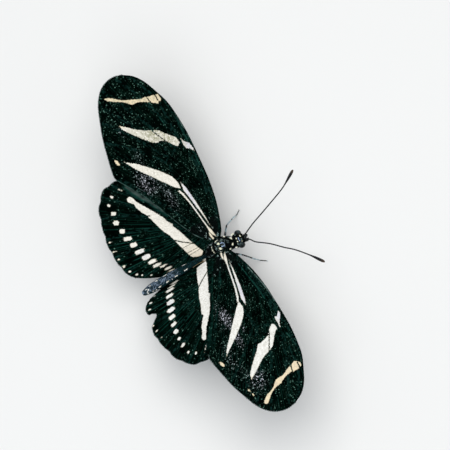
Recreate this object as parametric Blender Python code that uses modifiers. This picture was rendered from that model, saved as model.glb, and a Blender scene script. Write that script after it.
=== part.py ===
"""Zebra longwing butterfly, life size, standing with its wings spread.

Metres, +Z up. The animal faces -Y and its left side is +X. Its feet stand on z = 0, and the
origin is under the middle of its outer box.
"""

import math

import bmesh
import bpy
import numpy as np
from mathutils import Matrix, Vector
from mathutils.geometry import delaunay_2d_cdt

# All sizes below are in millimetres and become metres where a mesh is written.
MM = 0.001
GAP = 0.3
NAME = "zebra_longwing"

# The body stands BODY_SHIFT behind the middle of the outer box, which reaches from the feelers
# to the hindwings. BODY_HEIGHT is the height of the thorax axis over the floor.
BODY_SHIFT = 0.5
BODY_HEIGHT = 8.7

# Thorax: distance behind its centre, half width, half height. Its axis bends to the right in front
# of NECK_START by NECK_BEND at its front end.
THORAX_STATIONS = (
    (-3.20, 0.75, 0.78),
    (-3.00, 1.08, 1.12),
    (-2.45, 1.28, 1.38),
    (-2.10, 1.36, 1.52),
    (-1.45, 1.75, 1.96),
    (-0.60, 1.93, 2.20),
    (0.30, 1.95, 2.25),
    (1.10, 1.82, 2.10),
    (1.85, 1.56, 1.82),
    (2.50, 1.26, 1.42),
    (2.95, 0.98, 1.08),
    (3.15, 0.70, 0.78),
)
NECK_BEND = 0.42
NECK_START = -0.9

# Abdomen: share of its length, radius. It is ringed, and its axis starts to the right of and below
# the thorax's, then sags and turns on towards the tip.
ABDOMEN_LENGTH = 16.9
ABDOMEN_PROFILE = (
    (0, 0.70), (0.08, 0.86), (0.3, 1.02), (0.5, 1.12), (0.7, 1.30), (0.8, 1.34), (0.9, 1.2), (1, 0.62),
)
ABDOMEN_RINGS = 8
ABDOMEN_TALL = 1.05
RING_GROOVE = 0.07
ABDOMEN_SIDE = -0.12
ABDOMEN_DROP = 0.2
ABDOMEN_SAG = 0.85
ABDOMEN_TURN = 0.24

# Head: distance ahead of its centre, half width, half height. It is turned to the animal's right.
HEAD_CENTRE = (-0.68, -4.65, 0.3)
HEAD_TURN = math.radians(-7.0)
HEAD_STATIONS = (
    (-1.06, 0.72, 0.72),
    (-0.92, 0.98, 1.05),
    (-0.50, 1.18, 1.32),
    (0.05, 1.24, 1.40),
    (0.55, 1.14, 1.34),
    (0.90, 0.94, 1.15),
    (1.10, 0.70, 0.86),
    (1.20, 0.42, 0.52),
)
EYE_CENTRE = (1.40, 0.05, 0.10)
EYE_RADII = (0.75, 0.92, 1.08)
EYE_CLEARANCE = 0.3

# Feelers: way points as side, back and height over the thorax axis, then the radius of the shaft and
# of the club, which swells between the shares CLUB_START and CLUB_FULL of the length.
ANTENNA_LEFT = ((-0.47, -6.26, 0.74), (0.30, -8.10, 1.1), (0.80, -9.40, 1.4), (1.95, -13.1, 2.3),
                (3.70, -18.3, 3.5), (4.75, -20.5, 4.1), (6.15, -23.0, 4.8))
ANTENNA_RIGHT = ((-1.36, -6.14, 0.72), (-2.20, -6.95, 0.85), (-3.30, -7.80, 0.9), (-5.30, -10.4, 1.0),
                 (-7.60, -12.8, 0.8), (-9.25, -14.7, 0.6), (-12.0, -17.1, 0.3), (-15.0, -19.3, 0.0))
SHAFT_RADIUS = 0.25
CLUB_RADIUS = 0.40
CLUB_START = 0.78
CLUB_FULL = 0.95

# Palps as side, distance ahead of and height over the head's centre. The tongue is a flat coil
# under the face, given by its centre's distance ahead and height.
PALP_PATH = ((0.46, 1.30, -1.22), (0.48, 1.60, -1.12), (0.49, 1.80, -0.80), (0.48, 1.86, -0.34))
PALP_RADIUS = 0.25
COIL_CENTRE = (0.85, -2.68)
COIL_RADII = (0.92, 0.30)
COIL_TURNS = 1.25
COIL_STEPS = 26
COIL_TUBE = 0.25

# Legs: joints from the hip to the toe as side, back and height, with the radius at each. The toes
# rest on the floor.
FOOT_HEIGHT = 0.20
FORELEG = ((0.75, -1.85, 6.60, 0.26), (0.90, -2.60, 6.15, 0.27),
           (0.95, -3.25, 6.15, 0.25), (0.82, -3.85, 6.75, 0.20))
MIDLEG_LEFT = ((1.00, -0.80, 6.36, 0.40), (1.35, -1.10, 5.85, 0.32), (2.75, -2.30, 6.65, 0.34),
               (4.15, -3.50, 7.20, 0.28), (4.55, -3.85, 6.45, 0.25), (6.65, -5.58, 2.20, 0.26),
               (7.40, -6.30, FOOT_HEIGHT, 0.25), (8.05, -7.20, FOOT_HEIGHT, 0.23))
MIDLEG_RIGHT = ((-1.00, -0.80, 6.36, 0.40), (-1.35, -1.10, 5.85, 0.32), (-2.50, -2.35, 6.40, 0.34),
                (-3.50, -3.45, 6.80, 0.28), (-3.65, -3.80, 6.05, 0.25), (-4.42, -5.30, 2.20, 0.26),
                (-4.75, -6.20, FOOT_HEIGHT, 0.25), (-5.60, -7.45, FOOT_HEIGHT, 0.23))
HINDLEG = ((0.85, 1.45, 6.45, 0.40), (1.15, 1.80, 6.00, 0.32), (2.35, 3.45, 6.40, 0.34),
           (3.60, 5.20, 6.60, 0.28), (3.90, 5.80, 6.00, 0.25), (5.65, 9.60, 1.90, 0.26),
           (6.30, 11.20, FOOT_HEIGHT, 0.25), (6.95, 12.90, FOOT_HEIGHT, 0.23))

# Wings. Each is drawn flat, as distances out from its root and forward of it, then tilted up by
# its dihedral and along by its pitch. Veins are ridges raised on both faces.
WING_THICKNESS = 0.5
VEIN_RISE = 0.3
VEIN_HALF_WIDTH = 0.55
VEIN_STEP = 1.7
BASE_GAP = 0.42

# Spacing of the points that fill a wing: between the filling points, from those along the veins'
# feet, and from the wing's edge.
FILL_STEP = 2.6
FILL_NEAR = 1.3
FOOT_NEAR = 0.5
EDGE_NEAR = 0.45

FOREWING_ROOT = (1.92, 0.0, 10.1)
FOREWING_DIHEDRAL = math.radians(13.0)
FOREWING_PITCH = math.radians(-6.0)
FOREWING_CAMBER = 0.35
CAMBER_MIDDLE = -3.5
CAMBER_HALF_CHORD = 9.5
HINDWING_ROOT = (1.92, 0.0, 8.6)
HINDWING_DIHEDRAL = math.radians(16.5)
HINDWING_PITCH = math.radians(-0.9)
# The hindwing's inner part dips by GUTTER_DEPTH to pass under the abdomen. The dip is deepest inward
# of GUTTER_INNER, ends GUTTER_WIDTH further out, and deepens over GUTTER_RUN behind GUTTER_FRONT.
GUTTER_DEPTH = 2.35
GUTTER_INNER = -1.6
GUTTER_WIDTH = 4.6
GUTTER_FRONT = -1.2
GUTTER_RUN = 4.5

FOREWING_BASE = (1.55, -1.65)
FOREWING_MARGIN = (
    (1.2, 2.3), (4.1, 3.4), (8.0, 4.5), (12.8, 5.3), (17.0, 5.65), (20.7, 5.9), (24.7, 6.05),
    (28.9, 5.85), (32.5, 5.4), (36.1, 4.2), (39.0, 3.0), (41.2, 1.4), (42.6, -0.6), (43.1, -2.8),
    (42.8, -4.7), (41.9, -6.4), (40.4, -7.8), (38.5, -8.95), (35.6, -10.1), (32.2, -11.3),
    (28.9, -12.15), (25.5, -12.9), (23.2, -13.3), (22.0, -13.1), (20.5, -12.2), (18.0, -10.6),
    (15.5, -9.2), (12.2, -7.75), (7.3, -5.8), (3.3, -3.95), (1.2, -2.45),
)
HINDWING_BASE = (-0.55, -2.45)
HINDWING_MARGIN = (
    (1.2, -0.75), (4.0, -1.6), (8.0, -3.4), (12.0, -5.3), (16.0, -7.4), (19.5, -9.6), (21.9, -11.8),
    (22.6, -13.5), (22.5, -15.1), (22.3, -16.7), (21.1, -18.1), (18.7, -19.95), (15.7, -20.95),
    (12.6, -21.75), (10.4, -22.1), (8.3, -22.1), (5.6, -22.0), (3.0, -21.3), (1.3, -20.1),
    (0.3, -18.5), (-0.5, -16.9), (-1.2, -14.9), (-1.35, -12.0), (-1.2, -8.5), (-0.75, -6.2), (-0.15, -4.2),
)
# The right hindwing has lost a scrap of its hind margin, between these two points.
CHIP_AFTER = (8.3, -22.1)
CHIP_POINTS = ((7.4, -22.1), (6.4, -20.9), (5.4, -20.6), (4.9, -21.4), (3.9, -21.8))
CHIP_BEFORE = (3.0, -21.3)

# Veins as start, end and how far the middle bows forward of the straight line.
FOREWING_VEINS = (
    ((0.6, 1.3), (24.0, 3.6), 1.55),
    ((0.6, 0.3), (14.0, -1.6), 0.15),
    ((24.0, 3.6), (34.3, 3.4), 0.25),
    ((34.3, 3.4), (41.6, 0.3), 0.35),
    ((10.0, 3.35), (21.5, 5.0), 0.25),
    ((14.0, -1.6), (21.4, -0.8), -0.15),
    ((21.4, -0.8), (22.0, 2.0), 0.1),
    ((22.0, 2.0), (24.0, 3.6), 0.0),
    ((24.0, 3.6), (42.5, -2.4), 0.75),
    ((22.0, 2.0), (41.4, -6.3), 0.35),
    ((21.4, 0.6), (38.4, -8.3), 0.45),
    ((21.4, -0.8), (35.0, -9.7), 0.4),
    ((19.8, -1.1), (30.6, -11.2), 0.6),
    ((14.0, -1.6), (26.0, -12.1), 0.55),
    ((0.7, -0.7), (21.9, -12.3), 0.5),
)
HINDWING_VEINS = (
    ((0.4, -1.3), (22.0, -14.6), 0.7),
    ((0.3, -1.8), (9.4, -8.0), 0.3),
    ((9.4, -8.0), (20.7, -17.7), 0.4),
    ((0.1, -2.1), (4.6, -8.2), 0.2),
    ((4.6, -8.2), (7.0, -9.8), 0.0),
    ((7.0, -9.8), (9.4, -8.0), -0.2),
    ((9.4, -8.0), (16.3, -20.1), 1.0),
    ((8.2, -9.3), (12.0, -21.2), 0.6),
    ((7.0, -9.8), (7.7, -21.6), -0.1),
    ((4.6, -8.2), (3.9, -21.2), -0.3),
    ((2.5, -5.6), (1.3, -19.3), -0.3),
)

BLACK_SCALES = (0.010, 0.016, 0.018)
BLACK_HAIR = (0.012, 0.013, 0.016)
BLUE_GREY = (0.045, 0.048, 0.075)
BLACK_GLOSS = (0.006, 0.006, 0.008)


def clear_scene():
    for old in list(bpy.data.objects):
        bpy.data.objects.remove(old, do_unlink=True)


def make_collection(name):
    made = bpy.data.collections.new(name)
    bpy.context.scene.collection.children.link(made)
    return made


def make_material(name, colour, roughness):
    made = bpy.data.materials.new(name)
    made.use_nodes = True
    shader = made.node_tree.nodes["Principled BSDF"]
    shader.inputs["Base Color"].default_value = (*colour, 1.0)
    shader.inputs["Roughness"].default_value = roughness
    shader.inputs["Metallic"].default_value = 0.0
    return made


def body_point(side, back, height):
    """A point in metres from its place beside, behind and above the floor under the thorax centre."""
    return Vector((side, back + BODY_SHIFT, height)) * MM


def add_mesh(name, points, faces, collection, finish):
    mesh = bpy.data.meshes.new(name)
    mesh.from_pydata([tuple(p) for p in points], [], faces)
    mesh.validate()
    mesh.materials.append(make_material(name, *finish))
    made = bpy.data.objects.new(name, mesh)
    collection.objects.link(made)
    return made


def face_outwards(made):
    """Turn every face of a closed mesh to point out, and shade it smooth."""
    work = bmesh.new()
    work.from_mesh(made.data)
    bmesh.ops.recalc_face_normals(work, faces=work.faces)
    work.to_mesh(made.data)
    work.free()
    made.data.shade_smooth()
    made.data.set_sharp_from_angle(angle=math.radians(50))


def loft(name, rings, collection, finish):
    """A closed skin through rings of equally many points, with a fan over each end."""
    count = len(rings[0])
    points = [p for ring in rings for p in ring]
    faces = []
    for r in range(len(rings) - 1):
        for k in range(count):
            across = (k + 1) % count
            low, high = r * count, (r + 1) * count
            faces.append((low + k, low + across, high + across, high + k))
    for start in (0, (len(rings) - 1) * count):
        middle = sum((points[start + k] for k in range(count)), Vector()) / count
        points.append(middle)
        faces += [(start + k, start + (k + 1) % count, len(points) - 1) for k in range(count)]
    made = add_mesh(name, points, faces, collection, finish)
    face_outwards(made)
    return made


def oval(half_width, half_height, count):
    """Side and height of points round an ellipse."""
    turns = np.arange(count) * 2 * math.pi / count
    return [(half_width * math.sin(t), half_height * math.cos(t)) for t in turns]


def smooth_path(points, step):
    """Points about one step apart on a Catmull-Rom curve through the given points."""
    given = np.array(points, float)
    ends = np.vstack([2 * given[0] - given[1], given, 2 * given[-1] - given[-2]])
    made = []
    for k in range(len(given) - 1):
        a, b, c, d = ends[k:k + 4]
        pieces = max(1, round(float(np.linalg.norm(c - b)) / step))
        for t in np.arange(pieces) / pieces:
            bend = 2 * a - 5 * b + 4 * c - d
            curl = 3 * (b - c) + d - a
            made.append(b + 0.5 * t * (c - a + t * (bend + t * curl)))
    return np.array(made + [given[-1]])


def thorax_bend(back):
    """How far the thorax axis lies to the right, which grows towards the neck."""
    reach = (NECK_START - back) / (NECK_START - THORAX_STATIONS[0][0])
    return -NECK_BEND * max(0.0, reach) ** 2


def thorax_side(back, height):
    """Distance of the thorax's side from its axis at a place along it and a height over the floor."""
    stations = np.array(THORAX_STATIONS)
    half_width = np.interp(back, stations[:, 0], stations[:, 1])
    half_height = np.interp(back, stations[:, 0], stations[:, 2])
    rise = min(1.0, abs(height - BODY_HEIGHT) / half_height)
    return half_width * math.sqrt(1.0 - rise ** 2)


def make_thorax(collection):
    rings = []
    for back, half_width, half_height in THORAX_STATIONS:
        rings.append([body_point(thorax_bend(back) + side, back, BODY_HEIGHT + rise)
                      for side, rise in oval(half_width, half_height, 20)])
    loft("thorax", rings, collection, (BLACK_HAIR, 0.7))


def make_abdomen(collection):
    shares, radii = np.array(ABDOMEN_PROFILE).T
    rings = []
    for ring in range(ABDOMEN_RINGS):
        for part in (0.0, 0.2, 0.8):
            share = (ring + part) / ABDOMEN_RINGS
            radius = float(np.interp(share, shares, radii))
            if part == 0.0 and ring > 0:
                radius *= 1 - RING_GROOVE
            rings.append(abdomen_ring(share, radius))
    rings.append(abdomen_ring(1.0, ABDOMEN_PROFILE[-1][1]))
    loft("abdomen", rings, collection, (BLUE_GREY, 0.6))


def abdomen_ring(share, radius):
    """One ring of the abdomen, whose axis sags and turns to the right towards the tip."""
    side = ABDOMEN_SIDE - ABDOMEN_TURN * math.sin(share * math.pi / 2)
    back = THORAX_STATIONS[-1][0] + GAP + share * ABDOMEN_LENGTH
    height = BODY_HEIGHT - ABDOMEN_DROP - ABDOMEN_SAG * share ** 1.5
    return [body_point(side + across, back, height + rise)
            for across, rise in oval(radius, ABDOMEN_TALL * radius, 16)]


def head_point(side, ahead, rise):
    """A point from its place beside, ahead of and above the head's centre."""
    across = side * math.cos(HEAD_TURN) + ahead * math.sin(HEAD_TURN)
    along = side * math.sin(HEAD_TURN) - ahead * math.cos(HEAD_TURN)
    return body_point(HEAD_CENTRE[0] + across, HEAD_CENTRE[1] + along, BODY_HEIGHT + HEAD_CENTRE[2] + rise)


def make_eye(name, side, extra, collection, finish):
    """An oval eye, or the same shape larger all round by extra."""
    bpy.ops.mesh.primitive_uv_sphere_add(segments=20, ring_count=12, radius=1.0)
    made = bpy.context.object
    made.name = name
    made.data.name = name
    radii = [(r + extra) * MM for r in EYE_RADII]
    centre = head_point(side * EYE_CENTRE[0], EYE_CENTRE[1], EYE_CENTRE[2])
    turn = Matrix.Rotation(HEAD_TURN, 4, "Z")
    made.data.transform(Matrix.Translation(centre) @ turn @ Matrix.Diagonal((*radii, 1.0)))
    made.data.materials.append(make_material(name, *finish))
    made.data.shade_smooth()
    for old in list(made.users_collection):
        old.objects.unlink(made)
    collection.objects.link(made)
    return made


def make_head(collection, cutters):
    rings = []
    for ahead, half_width, half_height in HEAD_STATIONS:
        rings.append([head_point(side, ahead, rise) for side, rise in oval(half_width, half_height, 20)])
    head = loft("head", rings, collection, (BLACK_HAIR, 0.7))
    for word, side in (("left", 1), ("right", -1)):
        make_eye("eye_" + word, side, 0.0, collection, (BLACK_GLOSS, 0.25))
        socket = make_eye("socket_" + word, side, EYE_CLEARANCE, cutters, (BLACK_HAIR, 0.7))
        socket.hide_render = True
        socket.display_type = "WIRE"
        cut = head.modifiers.new("socket_" + word, "BOOLEAN")
        cut.operation = "DIFFERENCE"
        cut.object = socket


def make_tube(name, path, radii, collection, finish):
    """A round tube through points in metres, with its own radius at each in millimetres."""
    curve = bpy.data.curves.new(name, "CURVE")
    curve.dimensions = "3D"
    curve.bevel_depth = MM
    curve.bevel_resolution = 2
    curve.use_fill_caps = True
    spline = curve.splines.new("POLY")
    spline.points.add(len(path) - 1)
    for point, place, radius in zip(spline.points, path, radii):
        point.co = (*place, 1.0)
        point.radius = radius
    curve.materials.append(make_material(name, *finish))
    made = bpy.data.objects.new(name, curve)
    collection.objects.link(made)
    return made


def make_antenna(name, way_points, collection):
    """A thin shaft that swells gradually into a blunt club."""
    path = smooth_path(way_points, 1.2)
    share = np.linspace(0, 1, len(path))
    swell = np.clip((share - CLUB_START) / (CLUB_FULL - CLUB_START), 0, 1)
    radii = SHAFT_RADIUS + (CLUB_RADIUS - SHAFT_RADIUS) * swell
    radii[-1] = CLUB_RADIUS / 2
    places = [body_point(side, back, BODY_HEIGHT + rise) for side, back, rise in path]
    make_tube(name, places, radii, collection, (BLACK_HAIR, 0.5))


def make_mouthparts(collection):
    """Two palps in front of the face and the coiled tongue under it."""
    for word, side in (("left", 1), ("right", -1)):
        path = smooth_path(PALP_PATH, 0.3)
        radii = np.linspace(PALP_RADIUS, 0.8 * PALP_RADIUS, len(path))
        places = [head_point(side * s, ahead, rise) for s, ahead, rise in path]
        make_tube("palp_" + word, places, radii, collection, (BLACK_HAIR, 0.7))
    share = np.linspace(0, 1, COIL_STEPS)
    angle = math.pi / 2 - share * COIL_TURNS * 2 * math.pi
    reach = COIL_RADII[0] + (COIL_RADII[1] - COIL_RADII[0]) * share
    places = [head_point(0.0, COIL_CENTRE[0] + r * math.cos(t), COIL_CENTRE[1] + r * math.sin(t))
              for r, t in zip(reach, angle)]
    make_tube("proboscis", places, np.full(COIL_STEPS, COIL_TUBE), collection, (BLACK_GLOSS, 0.4))


def make_leg(name, joints, side, collection):
    """A leg as one tapered tube, its toes pressed flat where they meet the floor."""
    path = smooth_path(joints, 1.1)
    places = [body_point(side * p[0], p[1], p[2]) for p in path]
    tube = make_tube(name + "_guide", places, path[:, 3], collection, (BLACK_GLOSS, 0.45))
    graph = bpy.context.evaluated_depsgraph_get()
    mesh = bpy.data.meshes.new_from_object(tube.evaluated_get(graph))
    bpy.data.objects.remove(tube, do_unlink=True)
    mesh.name = name
    work = bmesh.new()
    work.from_mesh(mesh)
    bmesh.ops.remove_doubles(work, verts=work.verts, dist=1e-6)
    for vert in work.verts:
        vert.co.z = max(vert.co.z, 0.0)
    work.to_mesh(mesh)
    work.free()
    mesh.materials.clear()
    mesh.materials.append(make_material(name, BLACK_GLOSS, 0.45))
    made = bpy.data.objects.new(name, mesh)
    collection.objects.link(made)
    face_outwards(made)


def vein_line(start, end, bow):
    """Points along a vein, bowed forward of its straight line by bow at the middle."""
    first, last = np.array(start), np.array(end)
    run = last - first
    length = float(np.linalg.norm(run))
    forward = np.array((-run[1], run[0])) / length
    t = np.linspace(0, 1, max(2, round(length / VEIN_STEP) + 1))[:, None]
    return first + run * t + forward * (4 * bow * t * (1 - t)), forward


def distance_to_lines(points, lines):
    """Distance of each point to the nearest stretch of any of the lines."""
    nearest = np.full(len(points), np.inf)
    for line in lines:
        for a, b in zip(line[:-1], line[1:]):
            along = np.clip((points - a) @ (b - a) / max(1e-9, float((b - a) @ (b - a))), 0, 1)
            reach = np.linalg.norm(points - a - along[:, None] * (b - a), axis=1)
            nearest = np.minimum(nearest, reach)
    return nearest


def inside(points, outline):
    """True for each point within the closed outline."""
    crossings = np.zeros(len(points), int)
    for a, b in zip(outline, np.roll(outline, -1, axis=0)):
        spans = (a[1] > points[:, 1]) != (b[1] > points[:, 1])
        slope = (b[0] - a[0]) / (b[1] - a[1] if b[1] != a[1] else 1e-12)
        crossings += spans & (points[:, 0] < a[0] + slope * (points[:, 1] - a[1]))
    return crossings % 2 == 1


def flat_wing(outline, veins):
    """Triangles of a wing drawn flat: points on its outline, its veins, their feet and between."""
    lines, feet = [], []
    for vein in veins:
        line, forward = vein_line(*vein)
        lines.append(line)
        feet += [line + forward * VEIN_HALF_WIDTH, line - forward * VEIN_HALF_WIDTH]
    closed = np.vstack([outline, outline[:1]])
    points = list(outline)
    edges = [(k, (k + 1) % len(outline)) for k in range(len(outline))]
    for line in lines:
        indices = [nearest_or_new(points, p, EDGE_NEAR) for p in line]
        edges += [(a, b) for a, b in zip(indices[:-1], indices[1:]) if a != b]
    across = np.arange(outline[:, 0].min(), outline[:, 0].max(), FILL_STEP)
    along = np.arange(outline[:, 1].min(), outline[:, 1].max(), FILL_STEP)
    grid = np.stack(np.meshgrid(across, along), -1).reshape(-1, 2)
    for wanted, spacing in ((np.vstack(feet), FOOT_NEAR), (grid, FILL_NEAR)):
        roomy = inside(wanted, outline) & (distance_to_lines(wanted, [closed]) > EDGE_NEAR)
        for p in wanted[roomy]:
            if np.linalg.norm(np.array(points) - p, axis=1).min() > spacing:
                points.append(p)
    made = delaunay_2d_cdt([Vector(p) for p in points], edges, [], 1, 1e-5)
    flat = np.array([tuple(v) for v in made[0]])
    rise = np.clip(1 - distance_to_lines(flat, lines) / VEIN_HALF_WIDTH, 0, 1)
    rise *= np.clip(distance_to_lines(flat, [closed]) / EDGE_NEAR, 0, 1)
    return flat, made[2], rise


def nearest_or_new(points, wanted, near):
    """Index of a point within near of the wanted one, which is added if there is none."""
    reach = np.linalg.norm(np.array(points) - wanted, axis=1)
    if reach.min() < near:
        return int(reach.argmin())
    points.append(wanted)
    return len(points) - 1


def wing_place(out, fore, lift, root, dihedral, pitch):
    """Side, back and height of a point of the left wing, lift being its height off the flat wing."""
    outward = np.array((math.cos(dihedral), 0.0, math.sin(dihedral)))
    upward = np.array((-math.sin(dihedral), 0.0, math.cos(dihedral)))
    forward = math.cos(pitch) * np.array((0.0, -1.0, 0.0)) + math.sin(pitch) * upward
    return np.array(root) + out * outward + fore * forward + lift * upward


def base_line(front, back, root, dihedral, pitch):
    """The wing's inner edge, kept one gap off the side of the thorax."""
    made = []
    for fore in np.linspace(back, front, 4):
        place = wing_place(0.0, fore, 0.0, root, dihedral, pitch)
        clear = thorax_side(place[1], place[2]) + BASE_GAP
        made.append(((clear - place[0]) / math.cos(dihedral), fore))
    return made


def forewing_lift(flat):
    """A shallow arch from the front edge to the hind edge."""
    return FOREWING_CAMBER * (1 - ((flat[:, 1] - CAMBER_MIDDLE) / CAMBER_HALF_CHORD) ** 2)


def ease(share):
    """A smooth step from 0 to 1 as share does."""
    held = np.clip(share, 0, 1)
    return held * held * (3 - 2 * held)


def hindwing_lift(flat):
    """The wing's inner part dips to pass under the abdomen, from just behind its root."""
    inward = 1 - ease((flat[:, 0] - GUTTER_INNER) / GUTTER_WIDTH)
    behind = ease((GUTTER_FRONT - flat[:, 1]) / GUTTER_RUN)
    return -GUTTER_DEPTH * inward * behind


def make_wing(name, side, outline, veins, shape, lift_of, collection):
    flat, faces, rise = flat_wing(outline, veins)
    lift = lift_of(flat)
    places = [wing_place(p[0], p[1], h, *shape) for p, h in zip(flat, lift)]
    points = [body_point(side * p[0], p[1], p[2]) for p in places]
    used = sorted({k for face in faces for k in face})
    number = {old: new for new, old in enumerate(used)}
    faces = [tuple(number[k] for k in face) for face in faces]
    made = add_mesh(name, [points[k] for k in used], faces, collection, (BLACK_SCALES, 0.55))
    ridge = made.vertex_groups.new(name="vein_ridge")
    for new, old in enumerate(used):
        ridge.add([new], float(rise[old]), "REPLACE")
    solid = made.modifiers.new("membrane", "SOLIDIFY")
    solid.thickness = (WING_THICKNESS + VEIN_RISE) * MM
    solid.offset = 0.0
    solid.vertex_group = ridge.name
    solid.thickness_vertex_group = WING_THICKNESS / (WING_THICKNESS + VEIN_RISE)


def hindwing_margin(side):
    """The hindwing's edge, with its torn notch on the right."""
    points = list(HINDWING_MARGIN)
    if side < 0:
        first = points.index(CHIP_AFTER) + 1
        last = points.index(CHIP_BEFORE)
        points[first:last] = CHIP_POINTS
    return points


def make_wings(collection):
    fore = (FOREWING_ROOT, FOREWING_DIHEDRAL, FOREWING_PITCH)
    hind = (HINDWING_ROOT, HINDWING_DIHEDRAL, HINDWING_PITCH)
    for word, side in (("left", 1), ("right", -1)):
        outline = np.vstack([base_line(*FOREWING_BASE, *fore), smooth_path(FOREWING_MARGIN, 1.7)])
        make_wing("forewing_" + word, side, outline, FOREWING_VEINS, fore, forewing_lift, collection)
        outline = np.vstack([base_line(*HINDWING_BASE, *hind), smooth_path(hindwing_margin(side), 1.3)])
        make_wing("hindwing_" + word, side, outline, HINDWING_VEINS, hind, hindwing_lift, collection)


def make_legs(collection):
    for word, side in (("left", 1), ("right", -1)):
        make_leg("foreleg_" + word, FORELEG, side, collection)
        make_leg("hindleg_" + word, HINDLEG, side, collection)
    make_leg("midleg_left", MIDLEG_LEFT, 1, collection)
    make_leg("midleg_right", MIDLEG_RIGHT, 1, collection)


clear_scene()
parts = make_collection(NAME)
cutters = make_collection(NAME + "_cutters")
make_thorax(parts)
make_abdomen(parts)
make_head(parts, cutters)
make_mouthparts(parts)
make_antenna("antenna_left", ANTENNA_LEFT, parts)
make_antenna("antenna_right", ANTENNA_RIGHT, parts)
make_legs(parts)
make_wings(parts)
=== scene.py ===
"""Zebra longwing butterfly standing with its wings spread: the visual model over the solids.

All shapes are worked out in millimetres, in the frame's axes: the head points to -Y, the animal's
left wing to +X, and the floor is at zero height.
"""

import math

import bpy
import numpy as np
from mathutils import Matrix, Vector


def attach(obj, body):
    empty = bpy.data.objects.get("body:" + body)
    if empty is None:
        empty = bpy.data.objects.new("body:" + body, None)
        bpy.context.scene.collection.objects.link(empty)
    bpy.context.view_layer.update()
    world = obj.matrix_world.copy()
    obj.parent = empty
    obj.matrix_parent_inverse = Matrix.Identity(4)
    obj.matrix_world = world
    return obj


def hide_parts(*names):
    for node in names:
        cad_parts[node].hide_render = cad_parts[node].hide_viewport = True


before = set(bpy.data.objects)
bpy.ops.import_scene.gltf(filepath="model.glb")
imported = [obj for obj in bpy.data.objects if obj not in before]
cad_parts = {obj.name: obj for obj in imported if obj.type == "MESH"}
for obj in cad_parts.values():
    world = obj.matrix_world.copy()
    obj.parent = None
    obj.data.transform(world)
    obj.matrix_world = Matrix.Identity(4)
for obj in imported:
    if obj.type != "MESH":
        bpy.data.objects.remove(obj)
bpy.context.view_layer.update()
scene = bpy.context.scene
scene.view_settings.view_transform = "Standard"

# Forewings. Each is a dry membrane stiffened by hollow veins and covered with rows of tiny flat
# scales, black with cream bars. It is hinged to the side of the thorax and held up at an angle.

MM = 0.001
BODY_SHIFT = 0.5
FOREWING = dict(root=(1.92, 0.0, 10.1), dihedral=math.radians(13.0), pitch=math.radians(-6.0))
FORE_FRONT = (
    (-0.5, 1.15), (1.2, 2.3), (4.1, 3.4), (8.0, 4.5), (12.8, 5.3), (17.0, 5.65), (20.7, 5.9), (24.7, 6.05),
    (28.9, 5.85), (32.5, 5.4), (36.1, 4.2), (39.0, 3.0), (41.2, 1.4), (42.6, -0.6),
)
FORE_OUTER = (
    (42.6, -0.6), (43.1, -2.8), (42.8, -4.7), (41.9, -6.4), (40.4, -7.8), (38.5, -8.95), (35.6, -10.1),
    (32.2, -11.3), (28.9, -12.15), (25.5, -12.9), (23.2, -13.3), (22.0, -13.1),
)
FORE_INNER = (
    (22.0, -13.1), (20.5, -12.2), (18.0, -10.6), (15.5, -9.2), (12.2, -7.75), (7.3, -5.8), (3.3, -3.95),
    (1.2, -2.45), (-0.5, -1.4),
)
FORE_VEINS = (
    ((0.3, 1.9), (20.5, 5.3), 0.75),
    ((0.3, 1.3), (24.0, 3.6), 1.55),
    ((0.3, 0.4), (14.0, -1.6), 0.15),
    ((24.0, 3.6), (34.3, 3.4), 0.25),
    ((34.3, 3.4), (41.6, 0.3), 0.35),
    ((10.0, 3.35), (21.5, 5.0), 0.25),
    ((21.5, 5.0), (33.0, 5.1), 0.35),
    ((14.0, -1.6), (21.4, -0.8), -0.15),
    ((21.4, -0.8), (22.0, 2.0), 0.1),
    ((22.0, 2.0), (24.0, 3.6), 0.0),
    ((24.0, 3.6), (42.5, -2.4), 0.75),
    ((22.0, 2.0), (41.4, -6.3), 0.35),
    ((21.4, 0.6), (38.4, -8.3), 0.45),
    ((21.4, -0.8), (35.0, -9.7), 0.4),
    ((19.8, -1.1), (30.6, -11.2), 0.6),
    ((14.0, -1.6), (26.0, -12.1), 0.55),
    ((0.4, -0.7), (21.9, -12.3), 0.5),
)
FORE_CAMBER = 0.35
MEMBRANE = 0.07
VEIN_RIDGE = 0.09


def smooth_through(points, count):
    """Evenly spread points on a Catmull-Rom curve: each stretch between two given points is a cubic
    whose slope at both ends is half the step between their neighbours."""
    given = np.array(points, float)
    ends = np.vstack([2 * given[0] - given[1], given, 2 * given[-1] - given[-2]])
    a, b, c, d = (ends[k:len(ends) - 3 + k][:, None] for k in range(4))
    t = np.linspace(0, 1, 25)[:-1][None, :, None]
    fine = b + 0.5 * t * (c - a + t * (2 * a - 5 * b + 4 * c - d + t * (3 * (b - c) + d - a)))
    fine = np.vstack([fine.reshape(-1, given.shape[1]), given[-1:]])
    run = np.concatenate([[0], np.cumsum(np.linalg.norm(np.diff(fine, axis=0), axis=1))])
    wanted = np.linspace(0, run[-1], count)
    return np.stack([np.interp(wanted, run, fine[:, k]) for k in range(given.shape[1])], 1)


def filled_patch(base, front, outer, inner):
    """Grid of flat points between four edges: the edges facing each other are blended straight across
    in both directions, and the blend of the four corners, which both hold, is taken off once."""
    u = np.linspace(0, 1, len(front))[:, None, None]
    v = np.linspace(0, 1, len(base))[None, :, None]
    along = (1 - v) * inner[:, None] + v * front[:, None]
    across = (1 - u) * base[None] + u * outer[None]
    corners = (1 - u) * ((1 - v) * base[0] + v * base[-1]) + u * ((1 - v) * outer[0] + v * outer[-1])
    return along + across - corners


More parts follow.
